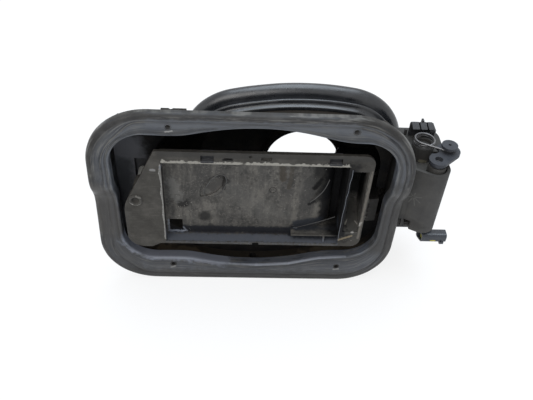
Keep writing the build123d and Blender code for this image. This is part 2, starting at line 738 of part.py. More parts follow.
def spring_anchor():
    """Hood on the deck with the spring's pivot hole; the coil swings in under its roof."""
    left = ANCHOR_X - ANCHOR_W / 2
    right = ANCHOR_X + ANCHOR_W / 2
    profile = [
        (ANCHOR_FRONT_Y, BOX_RIM),
        (ANCHOR_FRONT_Y, ANCHOR_TOP - 5.5),
        (ANCHOR_FRONT_Y - 1.9, ANCHOR_TOP - 4.0),
        (ANCHOR_FRONT_Y - 1.5, ANCHOR_TOP - 1.5),
        (ANCHOR_BACK_Y - 3.0, ANCHOR_TOP),
        (ANCHOR_BACK_Y, ANCHOR_TOP - 3.0),
        (ANCHOR_BACK_Y, BOX_RIM),
    ]
    side = Plane.YZ.offset(left) * make_face(Polyline(*profile, close=True))
    anchor = extrude(side, amount=ANCHOR_W)
    for x in (left + ANCHOR_W / 3, left + 2 * ANCHOR_W / 3):
        slot_z = (ANCHOR_TOP - 4.5, ANCHOR_TOP + 1)
        anchor = anchor - block((x - 0.6, x + 0.6), (0, ANCHOR_BACK_Y - 2), slot_z)
    fin_x = (ANCHOR_X - RIB_W / 2, ANCHOR_X + RIB_W / 2)
    anchor = anchor + block(fin_x, (ANCHOR_BACK_Y - 3.5, ANCHOR_BACK_Y), (BOX_RIM, ANCHOR_TOP + 1.2))
    room_z = (BOX_RIM - 1, ANCHOR_TOP - ANCHOR_ROOF)
    anchor = anchor - block((left - 1, PIVOT_X - PIVOT_WALL), (0, ANCHOR_BACK_Y - ANCHOR_WALL), room_z)
    slot_r = WIRE_R + WIRE_PLAY
    slot_z = (COIL_START_Z - slot_r, COIL_START_Z + slot_r)
    anchor = anchor - block((left - 1, PIVOT_X + slot_r), (ANCHOR_FRONT_Y - 3, PIVOT_Y + slot_r), slot_z)
    pin_z = (COIL_START_Z - PIN_BEND - PIN_REACH - slot_r, COIL_START_Z)
    anchor = anchor - post(PIVOT_X, PIVOT_Y, pin_z, slot_r)
    return anchor - block((right - 2.0, right + 1), (0, 100), (ANCHOR_TOP - 2.2, 60))


def free_leg_angle():
    """Direction from the coil's middle at which the free leg leaves it, so that it also meets the eye."""
    px, py = post_place()
    span = ((px - COIL_X) ** 2 + (py - COIL_Y) ** 2) ** 0.5
    along = degrees(atan2(py - COIL_Y, px - COIL_X))
    return along + degrees(acos((EYE_R - COIL_R) / span)) + 180.0


def fixed_leg_angle():
    """Direction from the coil's middle at which the leg to the spring's pivot leaves it."""
    span = ((PIVOT_X - COIL_X) ** 2 + (PIVOT_Y - COIL_Y) ** 2) ** 0.5
    return degrees(atan2(PIVOT_Y - COIL_Y, PIVOT_X - COIL_X)) + degrees(acos(COIL_R / span))


def coil_line():
    """Line of the coil's wire from the leg at the pivot up to the free leg."""
    start = fixed_leg_angle()
    turns = COIL_WHOLE_TURNS + ((free_leg_angle() - start) % 360.0) / 360.0
    helix = Helix(COIL_PITCH, COIL_PITCH * turns, COIL_R)
    return Pos(COIL_X, COIL_Y, COIL_START_Z) * Rot(0, 0, start) * helix


def spring():
    """Torsion spring: a pin in the anchor, a leg, the coil, and a leg with an eye round the lever's post."""
    px, py = post_place()
    coil = coil_line()
    start = coil.position_at(0)
    corner = Vector(PIVOT_X, PIVOT_Y, start.Z)
    out = (start - corner).normalized()
    up = Vector(0, 0, 1)
    low = corner - up * PIN_BEND
    bend_end = corner + out * PIN_BEND
    bend = ThreePointArc(low, corner + (out - up) * PIN_BEND * (1 - cos(radians(45))), bend_end)
    eye = CenterArc((px, py, POST_MID_Z), EYE_R, free_leg_angle(), EYE_WRAP)
    free_leg = Line(coil.position_at(1), eye.position_at(0))
    path = Wire([Line(low - up * PIN_REACH, low), bend, Line(bend_end, start), coil.edge(), free_leg, eye])
    section = Plane(origin=path.position_at(0), z_dir=path.tangent_at(0)) * Circle(WIRE_R)
    return sweep(section, path=path, transition=Transition.TRANSFORMED)


def post_place():
    return (HINGE_X + POST_DX, HINGE_Y + POST_DY)


# Flap


def flap_carrier():
    """Tray with its frame, second cavity, deep channel at the right and the gooseneck arm."""
    back = FLAP_Y + TRAY_DEPTH
    floor = back + TRAY_WALL
    sheet = prism_y(carrier_outline(), FLAP_Y, FLAP_Y + FLAP_SHEET)
    tray_z = (TRAY_BOTTOM - TRAY_WALL, TRAY_TOP + TRAY_WALL)
    tray = block((TRAY_LEFT - TRAY_WALL, BEND_X), (FLAP_Y, floor), tray_z)
    ledge = block((BEND_X, CAVITY_LEFT), (FLAP_Y, floor), tray_z)
    plan = bend_plan(floor, FLAP_Y + BEND_DEPTH + TRAY_WALL, BEND_X - 1, CAVITY_RIGHT + TRAY_WALL, FLAP_Y)
    deep = prism_z(plan, CHANNEL_BOTTOM - TRAY_WALL, CAVITY_TOP + TRAY_WALL)
    body = sheet + tray + ledge + deep
    mouth = block((TRAY_LEFT, BEND_X + 1), (FLAP_Y - 1, back), (TRAY_BOTTOM, TRAY_TOP))
    inner = bend_plan(back, FLAP_Y + BEND_DEPTH, BEND_X - 1, TRAY_RIGHT, FLAP_Y - 1)
    shallow = block((BEND_X, TRAY_RIGHT), (FLAP_Y - 1, back), (TRAY_BOTTOM, TRAY_TOP))
    cavity_y = (FLAP_Y - 1, FLAP_Y + BEND_DEPTH)
    cavity = block((CAVITY_LEFT, CAVITY_RIGHT), cavity_y, (CAVITY_BOTTOM, CAVITY_TOP))
    body = body - mouth - shallow - prism_z(inner, CHANNEL_BOTTOM, CHANNEL_TOP) - cavity
    body = body + wedge_floor()
    rib_y = (FLAP_Y + 2, back + 1)
    body = body + block((BEND_X - 4, TRAY_RIGHT + 1), rib_y, (CHANNEL_BOTTOM, CHANNEL_BOTTOM + FLOOR_RIB_W))
    upright_x = (FLOOR_RIB_X, FLOOR_RIB_X + FLOOR_RIB_W)
    body = body + block(upright_x, rib_y, (TRAY_BOTTOM - 1, CHANNEL_BOTTOM + 1))
    body = body + hinge_arm() + latch_socket_boss()
    body = body - floor_features(back) - band_features()
    x, y = lock_point()
    body = body - post(x, y, (ARM_BOTTOM - 1, ARM_BOTTOM + ARM_SKIN + 1), BOLT_R + 0.3)
    return biggest(body)


def bend_plan(y_shallow, y_deep, x_left, x_right, y_front):
    """Plan of a floor that bends from one depth down to another."""
    bend = BEND_X + BEND_RUN
    knee = (BEND_X + BEND_RUN * 0.6, y_shallow)
    edges = [
        Line((x_left, y_front), (x_left, y_shallow)),
        Line((x_left, y_shallow), (BEND_X, y_shallow)),
        Bezier((BEND_X, y_shallow), knee, (bend, y_shallow + 4), (bend, y_deep)),
        Line((bend, y_deep), (x_right, y_deep)),
        Line((x_right, y_deep), (x_right, y_front)),
        Line((x_right, y_front), (x_left, y_front)),
    ]
    return Sketch() + make_face(edges)


def wedge_floor():
    """Slanted floor low in the second cavity."""
    profile = [
        (FLAP_Y + 1.0, CAVITY_BOTTOM - 1),
        (FLAP_Y + 1.0, CAVITY_BOTTOM),
        (FLAP_Y + BEND_DEPTH + 1, CAVITY_BOTTOM + 16),
        (FLAP_Y + BEND_DEPTH + 1, CAVITY_BOTTOM - 1),
    ]
    side = Plane.YZ.offset(CAVITY_LEFT - 0.5) * make_face(Polyline(*profile, close=True))
    return extrude(side, amount=CAVITY_RIGHT - CAVITY_LEFT + 1)


def hinge_arm():
    """Gooseneck from the hub, back and round to the carrier's right end, open towards the hinge."""
    outer = ARM_INNER_R + ARM_T
    band = sector(outer, ARM_ANGLE - 4, ARM_END_ANGLE) - Pos(HINGE_X, HINGE_Y) * Circle(ARM_INNER_R)
    foot = [
        (FLAP_RIGHT - 1, BOX_FRONT - 1.0),
        hinge_point(ARM_INNER_R, ARM_END_ANGLE),
        hinge_point(ARM_INNER_R, 172),
        hinge_point(outer, 165),
        (CAVITY_RIGHT, FLAP_Y + BEND_DEPTH + TRAY_WALL),
        (CAVITY_RIGHT, BOX_FRONT - 1.0),
    ]
    foot = Sketch() + make_face(Polyline(*foot, close=True))
    root = Pos(HINGE_X, HINGE_Y) * Rot(0, 0, ARM_ANGLE) * Pos(outer / 2 - 1, 0) * Rectangle(outer - 2, ROOT_W)
    plan = band + foot + root
    arm = prism_z(plan, ARM_BOTTOM, ARM_TOP)
    hollow = sector(outer - ARM_SKIN, ARM_ANGLE + 8, ARM_END_ANGLE - 14)
    hollow = hollow - Pos(HINGE_X, HINGE_Y) * Circle(ARM_INNER_R - 2)
    hollow = prism_z(hollow, ARM_BOTTOM + ARM_SKIN, ARM_TOP - ARM_SKIN)
    arm = arm - hollow
    for angle in ARM_RIB_ANGLES:
        rib = Pos(outer - ARM_T / 2, 0) * Rectangle(ARM_T - 0.5, RIB_W)
        rib = Pos(HINGE_X, HINGE_Y) * Rot(0, 0, angle) * rib
        arm = arm + prism_z(rib, ARM_BOTTOM, ARM_TOP)
    hub = post(HINGE_X, HINGE_Y, (ARM_BOTTOM, HUB_TOP), HUB_R)
    return arm + hub - post(HINGE_X, HINGE_Y, (ARM_BOTTOM - 1, HUB_TOP + 1), SHAFT_R)


def sector(radius, start, end):
    """Pie piece round the hinge between two angles."""
    middle = (start + end) / 2
    origin = (HINGE_X, HINGE_Y)
    first = hinge_point(radius, start)
    last = hinge_point(radius, end)
    edges = [
        Line(origin, first),
        ThreePointArc(first, hinge_point(radius, middle), last),
        Line(last, origin),
    ]
    return Sketch() + make_face(edges)


def latch_socket_boss():
    boss = rod(LATCH_X, (FLAP_Y + 1, SOCKET_END_Y), LATCH_Z, SOCKET_R)
    return boss - rod(LATCH_X, (FLAP_Y + FLAP_SHEET, SOCKET_END_Y + 1), LATCH_Z, PLUNGER_HEAD + 0.3)


def almond_cut(floor):
    """Shallow almond-shaped hollow in the tray's floor, where two arcs meet in two points."""
    half = ALMOND_L / 2
    upper = ThreePointArc((-half, 0), (0, ALMOND_W / 2), (half, 0))
    lower = ThreePointArc((half, 0), (0, -ALMOND_W / 2), (-half, 0))
    shape = Sketch() + make_face([upper, lower])
    placed = Pos(ALMOND_X, ALMOND_Z) * Rot(0, 0, ALMOND_TILT) * shape
    return prism_y(placed, floor - 1, floor + ALMOND_DEPTH)


def floor_features(back):
    """Hollows, the square hole and the round mark in the tray's floor."""
    cuts = almond_cut(back) + block(SQUARE_X, (back - 1, back + TRAY_WALL + 1), SQUARE_Z)
    mark = Circle(MARK_R) - Circle(MARK_R - MARK_LINE)
    return cuts + prism_y(Pos(MARK_X, MARK_Z) * mark, back - 0.5, back + 0.5)


def band_features():
    """Clip seats, slots and the buffer's hole in the front frame."""
    cuts = Part()
    for x in (LEFT_CLIP_X, RIGHT_CLIP_X):
        cuts = cuts + block(
            (x - CLIP_W / 2, x + CLIP_W / 2),
            (FLAP_Y - 1, FLAP_Y + FLAP_SHEET + 1),
            (TRAY_TOP + TRAY_WALL, FLAP_TOP - 3.0),
        )
    cuts = cuts + block(BAND_SLOT_X, (FLAP_Y - 1, FLAP_Y + FLAP_SHEET + 1), BAND_SLOT_Z)
    cuts = cuts + block(BAND_POCKET_X, (FLAP_Y - 1, FLAP_Y + 1.5), BAND_POCKET_Z)
    cuts = cuts + rod(BAND_DOT_X, (FLAP_Y - 1, FLAP_Y + 1.0), BAND_DOT_Z, BAND_DOT_R)
    cuts = cuts + block(LOW_NOTCH_X, (FLAP_Y - 1, FLAP_Y + 3), (FLAP_BOTTOM - 2, TRAY_BOTTOM - 0.2))
    return cuts + rod(BUFFER_X, (FLAP_Y - 1, FLAP_Y + FLAP_SHEET + 1), BUFFER_Z, BUFFER_STEM_R)


def skin_clip(x):
    """Bent clip tongue that grips the flap's painted skin."""
    half = CLIP_W / 2 - 0.15
    seat = TRAY_TOP + TRAY_WALL
    back = FLAP_Y + FLAP_SHEET
    foot = block((x - half, x + half), (FLAP_Y - 0.8, back + 2.0), (seat, seat + 1.2))
    hook = block((x - half, x + half), (back, back + 2.0), (seat, FLAP_TOP - 1.0))
    nose = bar((x - half, x + half), FLAP_Y - 0.4, seat + 0.4, 0.9)
    return (foot + hook + nose) & block((x - half, x + half), (0, 60), (seat, 60))


def flap_buffer():
    """Rubber stop through the carrier, with a raised ring in front and a foot towards the shelf."""
    ring = rod(BUFFER_X, (FLAP_Y - 1.6, FLAP_Y), BUFFER_Z, BUFFER_R)
    ring = ring - rod(BUFFER_X, (FLAP_Y - 3, FLAP_Y - 0.8), BUFFER_Z, BUFFER_R - 1.8)
    stem = rod(BUFFER_X, (FLAP_Y - 0.8, FLAP_Y + FLAP_SHEET), BUFFER_Z, BUFFER_STEM_R)
    foot = rod(BUFFER_X, (FLAP_Y + FLAP_SHEET, SHELF_Y - 0.4), BUFFER_Z, BUFFER_STEM_R + 1.2)
    return ring + stem + foot


def hinge_shaft():
    return post(HINGE_X, HINGE_Y, (BOX_BOTTOM + 0.5, LEVER_TOP - 3.0), SHAFT_R)


def hinge_lever():
    """Kidney-shaped crank on the shaft's head, with the post that the spring pulls on."""
    px, py = post_place()
    plate = Pos(HINGE_X, HINGE_Y) * Circle(LEVER_R) + Pos(px, py) * Circle(POST_END_R)
    direction = Vector(POST_DX, POST_DY, 0).normalized()
    normal = Vector(-direction.Y, direction.X, 0)
    a = Vector(HINGE_X, HINGE_Y, 0)
    b = Vector(px, py, 0)
    bridge = [a + normal * LEVER_R, a - normal * LEVER_R, b - normal * POST_END_R, b + normal * POST_END_R]
    plate = plate + make_face(Polyline(*[(p.X, p.Y) for p in bridge], close=True))
    waist = (a + b) * 0.5 + normal * (LEVER_R + 2.4)
    plate = plate - Pos(waist.X, waist.Y) * Circle(5.2)
    lever = prism_z(plate, LEVER_TOP - LEVER_T, LEVER_TOP)
    neck_z = (BEARING_TOP + END_PLAY, LEVER_TOP - LEVER_T)
    lever = lever + post(HINGE_X, HINGE_Y, neck_z, LEVER_R - 1.4)
    return lever - post(HINGE_X, HINGE_Y, (BEARING_TOP, LEVER_TOP + 1), SHAFT_R)


def spring_post():
    """Headed spool pressed on the lever."""
    px, py = post_place()
    stem = post(px, py, (LEVER_TOP, LEVER_TOP + POST_H), POST_R)
    head = post(px, py, (LEVER_TOP + POST_H, LEVER_TOP + POST_H + POST_HEAD_T), POST_HEAD_R)
    eye = post(px, py, (LEVER_TOP + POST_H, LEVER_TOP + POST_H + POST_HEAD_T + 1), 1.15)
    return stem + head - eye


# Latch


def latch_body():
    front = SHELF_Y + WALL
    shell = block((LATCH_LEFT, LATCH_RIGHT), (front, LATCH_END_Y), (LATCH_BOTTOM, LATCH_TOP))
    hollow = block(
        (LATCH_LEFT + LATCH_WALL, LATCH_RIGHT - LATCH_WALL),
        (front + LATCH_NOSE_D, LATCH_END_Y + 1),
        (LATCH_BOTTOM + LATCH_WALL, LATCH_TOP - LATCH_WALL),
    )
    shell = shell - hollow
    shell = shell - rod(LATCH_X, (front - 1, front + LATCH_NOSE_D + 1), LATCH_Z, PLUNGER_R + PLUNGER_PLAY)
    for x, z in LATCH_SCREWS:
        ear = rod(x, (LATCH_EAR_Y, LATCH_EAR_Y + 2.4), z, SCREW_HEAD_R + 0.6)
        side = 1 if z > LATCH_Z else -1
        edge = LATCH_TOP if side > 0 else LATCH_BOTTOM
        low, high = sorted((z, edge - side * 1.0))
        ear = ear + block((x - SCREW_HEAD_R, x + SCREW_HEAD_R), (LATCH_EAR_Y, LATCH_EAR_Y + 2.4), (low, high))
        shell = shell + ear - hollow - rod(x, (front, LATCH_EAR_Y + 5), z, SCREW_R)
    return shell


def latch_cap():
    plate = block((LATCH_LEFT, LATCH_RIGHT), (LATCH_END_Y, LATCH_END_Y + 2), (LATCH_BOTTOM, LATCH_TOP))
    guide = rod(LATCH_X, (LATCH_END_Y - 8, LATCH_END_Y), LATCH_Z, 1.3)
    return plate + guide


def latch_plunger():
    """Sprung pin with a cross head that turns and grips in the flap's socket."""
    front = SHELF_Y + WALL + LATCH_NOSE_D
    pin = rod(LATCH_X, (PLUNGER_TIP_Y + 1.5, PLUNGER_BACK_Y), LATCH_Z, PLUNGER_R)
    head = rod(LATCH_X, (PLUNGER_TIP_Y, PLUNGER_TIP_Y + 2.5), LATCH_Z, PLUNGER_R - 0.6)
    cross = block(
        (LATCH_X - 1.2, LATCH_X + 1.2),
        (PLUNGER_TIP_Y + 0.4, PLUNGER_TIP_Y + 2.2),
        (LATCH_Z - PLUNGER_HEAD + 0.3, LATCH_Z + PLUNGER_HEAD - 0.3),
    )
    collar = rod(LATCH_X, (front + PLUNGER_OUT + 0.3, front + PLUNGER_OUT + 2.3), LATCH_Z, PLUNGER_R + 0.8)
    pin = pin + head + cross + collar
    return pin - rod(LATCH_X, (PLUNGER_BACK_Y - 10, PLUNGER_BACK_Y + 1), LATCH_Z, PLUNGER_R - 1.0)


def latch_spring():
    """Plain tube in the place of the latch's coil spring."""
    y = (PLUNGER_BACK_Y - 9.8, LATCH_END_Y)
    return rod(LATCH_X, y, LATCH_Z, PLUNGER_R - 1.15) - rod(LATCH_X, (0, 99), LATCH_Z, 1.45)


# Lock actuator and plug


def actuator_case():
    """Open box under the hinge housing, with the plug's link on its front and an ear beside the housing."""
    x = (CASE_LEFT, CASE_RIGHT)
    y = (CASE_FRONT, CASE_BACK)
    body = block(x, y, (CASE_BOTTOM, CASE_TOP))
    body = body - block(
        (x[0] + CASE_WALL, x[1] - CASE_WALL),
        (y[0] + CASE_WALL, y[1] - CASE_WALL),
        (CASE_BOTTOM - 1, CASE_TOP - CASE_WALL),
    )
    lx, ly = lock_point()
    body = body + post(lx, ly, (CASE_TOP - 4, CASE_TOP - CASE_WALL), BOLT_R + 2.0)
    body = body - post(lx, ly, (CASE_TOP - 8, CASE_TOP + 1), BOLT_R + BOLT_PLAY)
    for sx, sy in CASE_SCREWS:
        body = body + post(sx, sy, (CASE_BOTTOM + 0.2, CASE_TOP), SCREW_HEAD_R + 0.8)
        body = body - post(sx, sy, (CASE_BOTTOM - 1, CASE_TOP + 1), SCREW_R)
        body = body - post(sx, sy, (CASE_BOTTOM - 1, CASE_TOP - SCREW_GRIP), SCREW_HEAD_R)
    link_y = (PLUG_FRONT + PLUG_D, CASE_FRONT)
    link = block(link_x(), link_y, (PLUG_TOP - PLUG_H, PLUG_TOP))
    ear = block(EAR_X, (link_y[0], link_y[0] + EAR_D), (PLUG_TOP - PLUG_H, EAR_TOP))
    return body + link + ear


def link_x():
    middle = (PLUG_LEFT + CASE_RIGHT) / 2
    return (middle - NECK_LINK / 2, middle + NECK_LINK / 2)


def actuator_lid():
    x = (CASE_LEFT, CASE_RIGHT)
    y = (CASE_FRONT, CASE_BACK)
    lid = block(x, y, (CASE_BOTTOM - LID_T, CASE_BOTTOM))
    rim = block(
        (x[0] + CASE_WALL + 0.2, x[1] - CASE_WALL - 0.2),
        (y[0] + CASE_WALL + 0.2, y[1] - CASE_WALL - 0.2),
        (CASE_BOTTOM, CASE_BOTTOM + 1.5),
    )
    rim = rim - block(
        (x[0] + CASE_WALL + 1.4, x[1] - CASE_WALL - 1.4),
        (y[0] + CASE_WALL + 1.4, y[1] - CASE_WALL - 1.4),
        (CASE_BOTTOM - 1, CASE_BOTTOM + 2),
    )
    lid = lid + rim
    for sx, sy in CASE_SCREWS:
        lid = lid - post(sx, sy, (CASE_BOTTOM - 3, CASE_BOTTOM + 3), SCREW_HEAD_R + 1.2)
    return lid


def lock_motor():
    """Small can motor lying along X beside the bolt, on a cradle."""
    y = CASE_BACK - CASE_WALL - MOTOR_R - 2.0
    z = CASE_BOTTOM + MOTOR_R + 0.5
    x = (MOTOR_LEFT, CASE_RIGHT - CASE_WALL - 2.0)
    can = bar(x, y, z, MOTOR_R)
    cradle = block((x[0] + 2, x[1] - 2), (y - 3, y + 3), (CASE_BOTTOM, z))
    return can + cradle


def lock_bolt():
    """Locking pin that rises into the arm, with a nut block below."""
    x, y = lock_point()
    pin = post(x, y, (NUT_TOP - 0.6, LOCK_TIP_Z), BOLT_R)
    nut = block((x - NUT_X, x + NUT_X), (y - NUT_Y, y + NUT_Y), (NUT_TOP - NUT_H, NUT_TOP))
    bore_z = (NUT_TOP - NUT_H - 0.5, NUT_TOP + SPINDLE_REACH)
    return pin + nut - post(x, y, bore_z, SPINDLE_R + SPINDLE_PLAY)


def lock_spindle():
    """Drive screw under the bolt, drawn without its thread, with its wheel."""
    x, y = lock_point()
    screw = post(x, y, (CASE_BOTTOM + 0.2, NUT_TOP + SPINDLE_REACH - 1.0), SPINDLE_R)
    return screw + post(x, y, (CASE_BOTTOM + 1.7, CASE_BOTTOM + 3.4), WHEEL_R)


def plug_shell():
    """Two-way plug with a rounded top, open at its slanted left end, with a latch foot at the right."""
    y = (PLUG_FRONT, PLUG_FRONT + PLUG_D)
    z = (PLUG_TOP - PLUG_H, PLUG_TOP)
    profile = Pos((y[0] + y[1]) / 2, (z[0] + z[1]) / 2) * RectangleRounded(PLUG_D, PLUG_H, PLUG_CORNER)
    shell = extrude(Plane.YZ.offset(PLUG_LEFT) * profile, amount=PLUG_RIGHT - PLUG_LEFT)
    inner = Pos((y[0] + y[1]) / 2, (z[0] + z[1]) / 2)
    inner = inner * RectangleRounded(PLUG_D - 2 * PLUG_WALL, PLUG_H - 2 * PLUG_WALL, PLUG_BORE_CORNER)
    shell = shell - extrude(Plane.YZ.offset(PLUG_LEFT - 1) * inner, amount=PLUG_DEPTH + 1)
    slant = [(PLUG_LEFT - 0.1, y[0] - 0.1), (PLUG_LEFT - 0.1, y[1] + 0.1), (PLUG_LEFT + 3.0, y[0] - 0.1)]
    shell = shell - prism_z(Sketch() + make_face(Polyline(*slant, close=True)), z[0] - 1, z[1] + 1)
    shell = shell + block((PLUG_RIGHT - 5, PLUG_RIGHT - 1.4), (y[0], y[1] - 4), (z[0] - 1.4, z[0] + 1))
    shell = shell - rod(PLUG_RIGHT - 4.2, (y[0] - 1, y[0] + 3), z[0] + 2.0, 1.0)
    return shell - block(PLUG_KEY_X, (y[0] - 1, y[0] + 2), PLUG_KEY_Z)


def plug_seal():
    """Yellow wire seal inside the plug's left end."""
    inner = Pos(PLUG_FRONT + PLUG_D / 2, PLUG_TOP - PLUG_H / 2)
    inner = inner * RectangleRounded(PLUG_D - 2 * PLUG_WALL, PLUG_H - 2 * PLUG_WALL, PLUG_BORE_CORNER)
    seal = extrude(Plane.YZ.offset(PLUG_LEFT + 3.5) * inner, amount=3.0)
    for side in (-WAY_OFFSET, WAY_OFFSET):
        way_y = PLUG_FRONT + PLUG_D / 2 + side
        seal = seal - bar((PLUG_LEFT, PLUG_LEFT + 12), way_y, PLUG_TOP - PLUG_H / 2, WAY_R)
    return seal


def plug_retainer():
    """Yellow terminal retainer, seen through a slot in the plug's front."""
    x0, x1 = PLUG_KEY_X
    z0, z1 = PLUG_KEY_Z
    key = block((x0 + 0.1, x1 - 0.1), (PLUG_FRONT + 0.3, PLUG_FRONT + PLUG_WALL), (z0 + 0.1, z1 - 0.1))
    bar_y = (PLUG_FRONT + PLUG_WALL, PLUG_FRONT + PLUG_WALL + 1.4)
    return key + block((x0 - 1, x1 + 1), bar_y, (z0 + 1.2, z1 + 1.6))


def plug_terminals():
    """Two flat pins, one group."""
    y = PLUG_FRONT + PLUG_D / 2 + 0.6
    z = PLUG_TOP - PLUG_H / 2
    x = (PLUG_LEFT + 7.0, PLUG_LEFT + PLUG_DEPTH)
    pins = []
    for side in (-WAY_OFFSET, WAY_OFFSET):
        pin = block(x, (y + side - PIN_W / 2, y + side + PIN_W / 2), (z - PIN_T / 2, z + PIN_T / 2))
        pins.append(pin.solid())
    return group(pins)


# Screws


def screw(place, direction, length):
    """Pan head screw: shank along a direction from the underside of its head."""
    plane = Plane(origin=place, z_dir=direction)
    shank = extrude(plane * Circle(SCREW_R - 0.02), amount=length)
    head = extrude(plane * Circle(SCREW_HEAD_R - 0.1), amount=-SCREW_HEAD)
    drive = extrude(plane.offset(-SCREW_HEAD) * RegularPolygon(1.3, 6), amount=1.0)
    return (shank + head - drive).solid()


def latch_screws():
    seat = LATCH_EAR_Y + 2.4
    return group([screw((x, seat, z), (0, -1, 0), seat - SHELF_Y - 1.5) for x, z in LATCH_SCREWS])


def case_screws():
    seat = CASE_TOP - SCREW_GRIP
    return group([screw((x, y, seat), (0, 0, 1), SCREW_GRIP + 5.5) for x, y in CASE_SCREWS])


def build():
    return {
        "pot_shell": pot_shell(),
        "lip_seal": lip_seal(),
        "neck_boot": neck_boot(),
        "hinge_housing": hinge_housing(),
        "upper_bush": bush(UPPER_BOSS_Z - BUSH_FLANGE, BEARING_TOP, True),
        "lower_bush": bush(LOWER_BOSS_Z, BOX_BOTTOM, False),
        "spring_anchor": spring_anchor(),
        "over_centre_spring": spring(),
        "flap_carrier": flap_carrier(),
        "left_skin_clip": skin_clip(LEFT_CLIP_X),
        "right_skin_clip": skin_clip(RIGHT_CLIP_X),
        "flap_buffer": flap_buffer(),
        "hinge_shaft": hinge_shaft(),
        "hinge_lever": hinge_lever(),
        "spring_post": spring_post(),
        "latch_body": latch_body(),
        "latch_cap": latch_cap(),
        "latch_plunger": latch_plunger(),
        "latch_spring": latch_spring(),
        "latch_screws": latch_screws(),
        "actuator_case": actuator_case(),
        "actuator_lid": actuator_lid(),
        "lock_motor": lock_motor(),
        "lock_bolt": lock_bolt(),
        "lock_spindle": lock_spindle(),
        "plug_shell": plug_shell(),
        "plug_seal": plug_seal(),
        "plug_retainer": plug_retainer(),
        "plug_terminals": plug_terminals(),
        "case_screws": case_screws(),
    }


def main():
    os.makedirs("parts", exist_ok=True)
    to_neck = Pos(-NECK_X, -BACK_Y, -NECK_Z)
    for node, shape in build().items():
        placed = to_neck * shape
        placed.label = node
        export_step(placed, f"parts/{node}.step")
        print(node, round(shape.volume / 1000, 2), "cm3")


if __name__ == "__main__":
    main()
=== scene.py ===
import json
import logging
import math
from dataclasses import dataclass, field
from enum import Enum
from typing import Callable, Iterable, Sequence

import bmesh
import bpy
from mathutils import Matrix, Vector, noise

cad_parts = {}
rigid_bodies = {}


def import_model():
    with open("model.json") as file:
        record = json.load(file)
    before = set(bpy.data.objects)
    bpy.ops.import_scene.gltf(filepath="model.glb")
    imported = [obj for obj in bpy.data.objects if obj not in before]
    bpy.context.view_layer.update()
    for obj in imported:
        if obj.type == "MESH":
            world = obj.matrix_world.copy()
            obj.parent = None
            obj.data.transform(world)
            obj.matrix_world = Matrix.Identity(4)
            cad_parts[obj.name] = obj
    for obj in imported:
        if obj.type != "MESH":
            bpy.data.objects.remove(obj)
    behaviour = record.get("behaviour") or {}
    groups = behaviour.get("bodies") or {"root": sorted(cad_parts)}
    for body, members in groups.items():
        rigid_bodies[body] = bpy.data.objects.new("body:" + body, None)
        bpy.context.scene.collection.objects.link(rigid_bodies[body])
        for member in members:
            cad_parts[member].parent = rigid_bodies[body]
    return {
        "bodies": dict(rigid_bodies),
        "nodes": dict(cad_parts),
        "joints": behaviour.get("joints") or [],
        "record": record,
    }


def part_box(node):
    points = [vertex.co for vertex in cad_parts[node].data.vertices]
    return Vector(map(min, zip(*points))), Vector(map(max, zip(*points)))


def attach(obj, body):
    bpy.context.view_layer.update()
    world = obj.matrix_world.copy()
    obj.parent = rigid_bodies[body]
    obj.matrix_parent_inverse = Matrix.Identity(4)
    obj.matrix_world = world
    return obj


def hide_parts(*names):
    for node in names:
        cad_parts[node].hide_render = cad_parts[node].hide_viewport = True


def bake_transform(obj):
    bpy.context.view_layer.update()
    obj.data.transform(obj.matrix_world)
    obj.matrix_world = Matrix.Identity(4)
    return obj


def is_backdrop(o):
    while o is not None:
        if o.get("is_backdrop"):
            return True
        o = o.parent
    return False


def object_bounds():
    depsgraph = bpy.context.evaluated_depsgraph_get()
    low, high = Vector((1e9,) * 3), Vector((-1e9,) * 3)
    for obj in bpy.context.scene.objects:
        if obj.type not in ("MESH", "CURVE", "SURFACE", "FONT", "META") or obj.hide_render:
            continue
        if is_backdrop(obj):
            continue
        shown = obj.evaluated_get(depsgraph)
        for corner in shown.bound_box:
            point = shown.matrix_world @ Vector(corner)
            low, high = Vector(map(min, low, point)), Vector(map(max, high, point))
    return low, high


LOG = logging.getLogger("filler_flap")
Point2 = tuple[float, float]
Point3 = Colour = tuple[float, float, float]
Piece = bpy.types.Object
Socket = bpy.types.NodeSocket
PER_METRE = 1000.0
FULL_TURN = 2 * math.pi
FLAP_HINGE = (142.0, 24.0, 0.0)
FRONTWARD = (0.0, -1.0, 0.0)
WHITE = (1.0, 1.0, 1.0, 1.0)
SLIM_SIDES = 8
SOFT_EDGE = 60.0
ANY_TURN = (6.28, 6.28, 6.28)
MARK_CORE = 0.45
FACING_RAMP = (0.4, 0.7)

# Numbers of a Mix node's colour sockets
COLOUR_A, COLOUR_B, COLOUR_OUT = 6, 7, 2


# ---------------------------------------------------------------- places and meshes


@dataclass(frozen=True)
class Datum:
    """Turns drawing millimetres into metres of the module's own frame."""

    shift: Vector

    @classmethod
    def from_record(cls, record: dict) -> "Datum":
        """Reads the shift off the flap's hinge, whose place in the drawing is known."""
        hinge = next(j for j in record["behaviour"]["joints"] if j["name"] == "flap_hinge")
        return cls(Vector(hinge["pos_m"]) - Vector(FLAP_HINGE) / PER_METRE)

    def at(self, x: float, y: float, z: float) -> Vector:
        """Place in metres of a point given in drawing millimetres."""
        return Vector((x, y, z)) / PER_METRE + self.shift


def on_circle(centre: Point2, radius: float, angle: float) -> Point2:
    """Point of a circle at an angle in radians."""
    return centre[0] + radius * math.cos(angle), centre[1] + radius * math.sin(angle)


def rectangle(low: Point2, high: Point2) -> tuple[Point2, ...]:
    """Corners of a rectangle, in turn, from two that lie across from each other."""
    return low, (high[0], low[1]), high, (low[0], high[1])


def collect(obj: Piece) -> Piece:
    """Links a new object to the scene and gives it back."""
    bpy.context.scene.collection.objects.link(obj)
    return obj


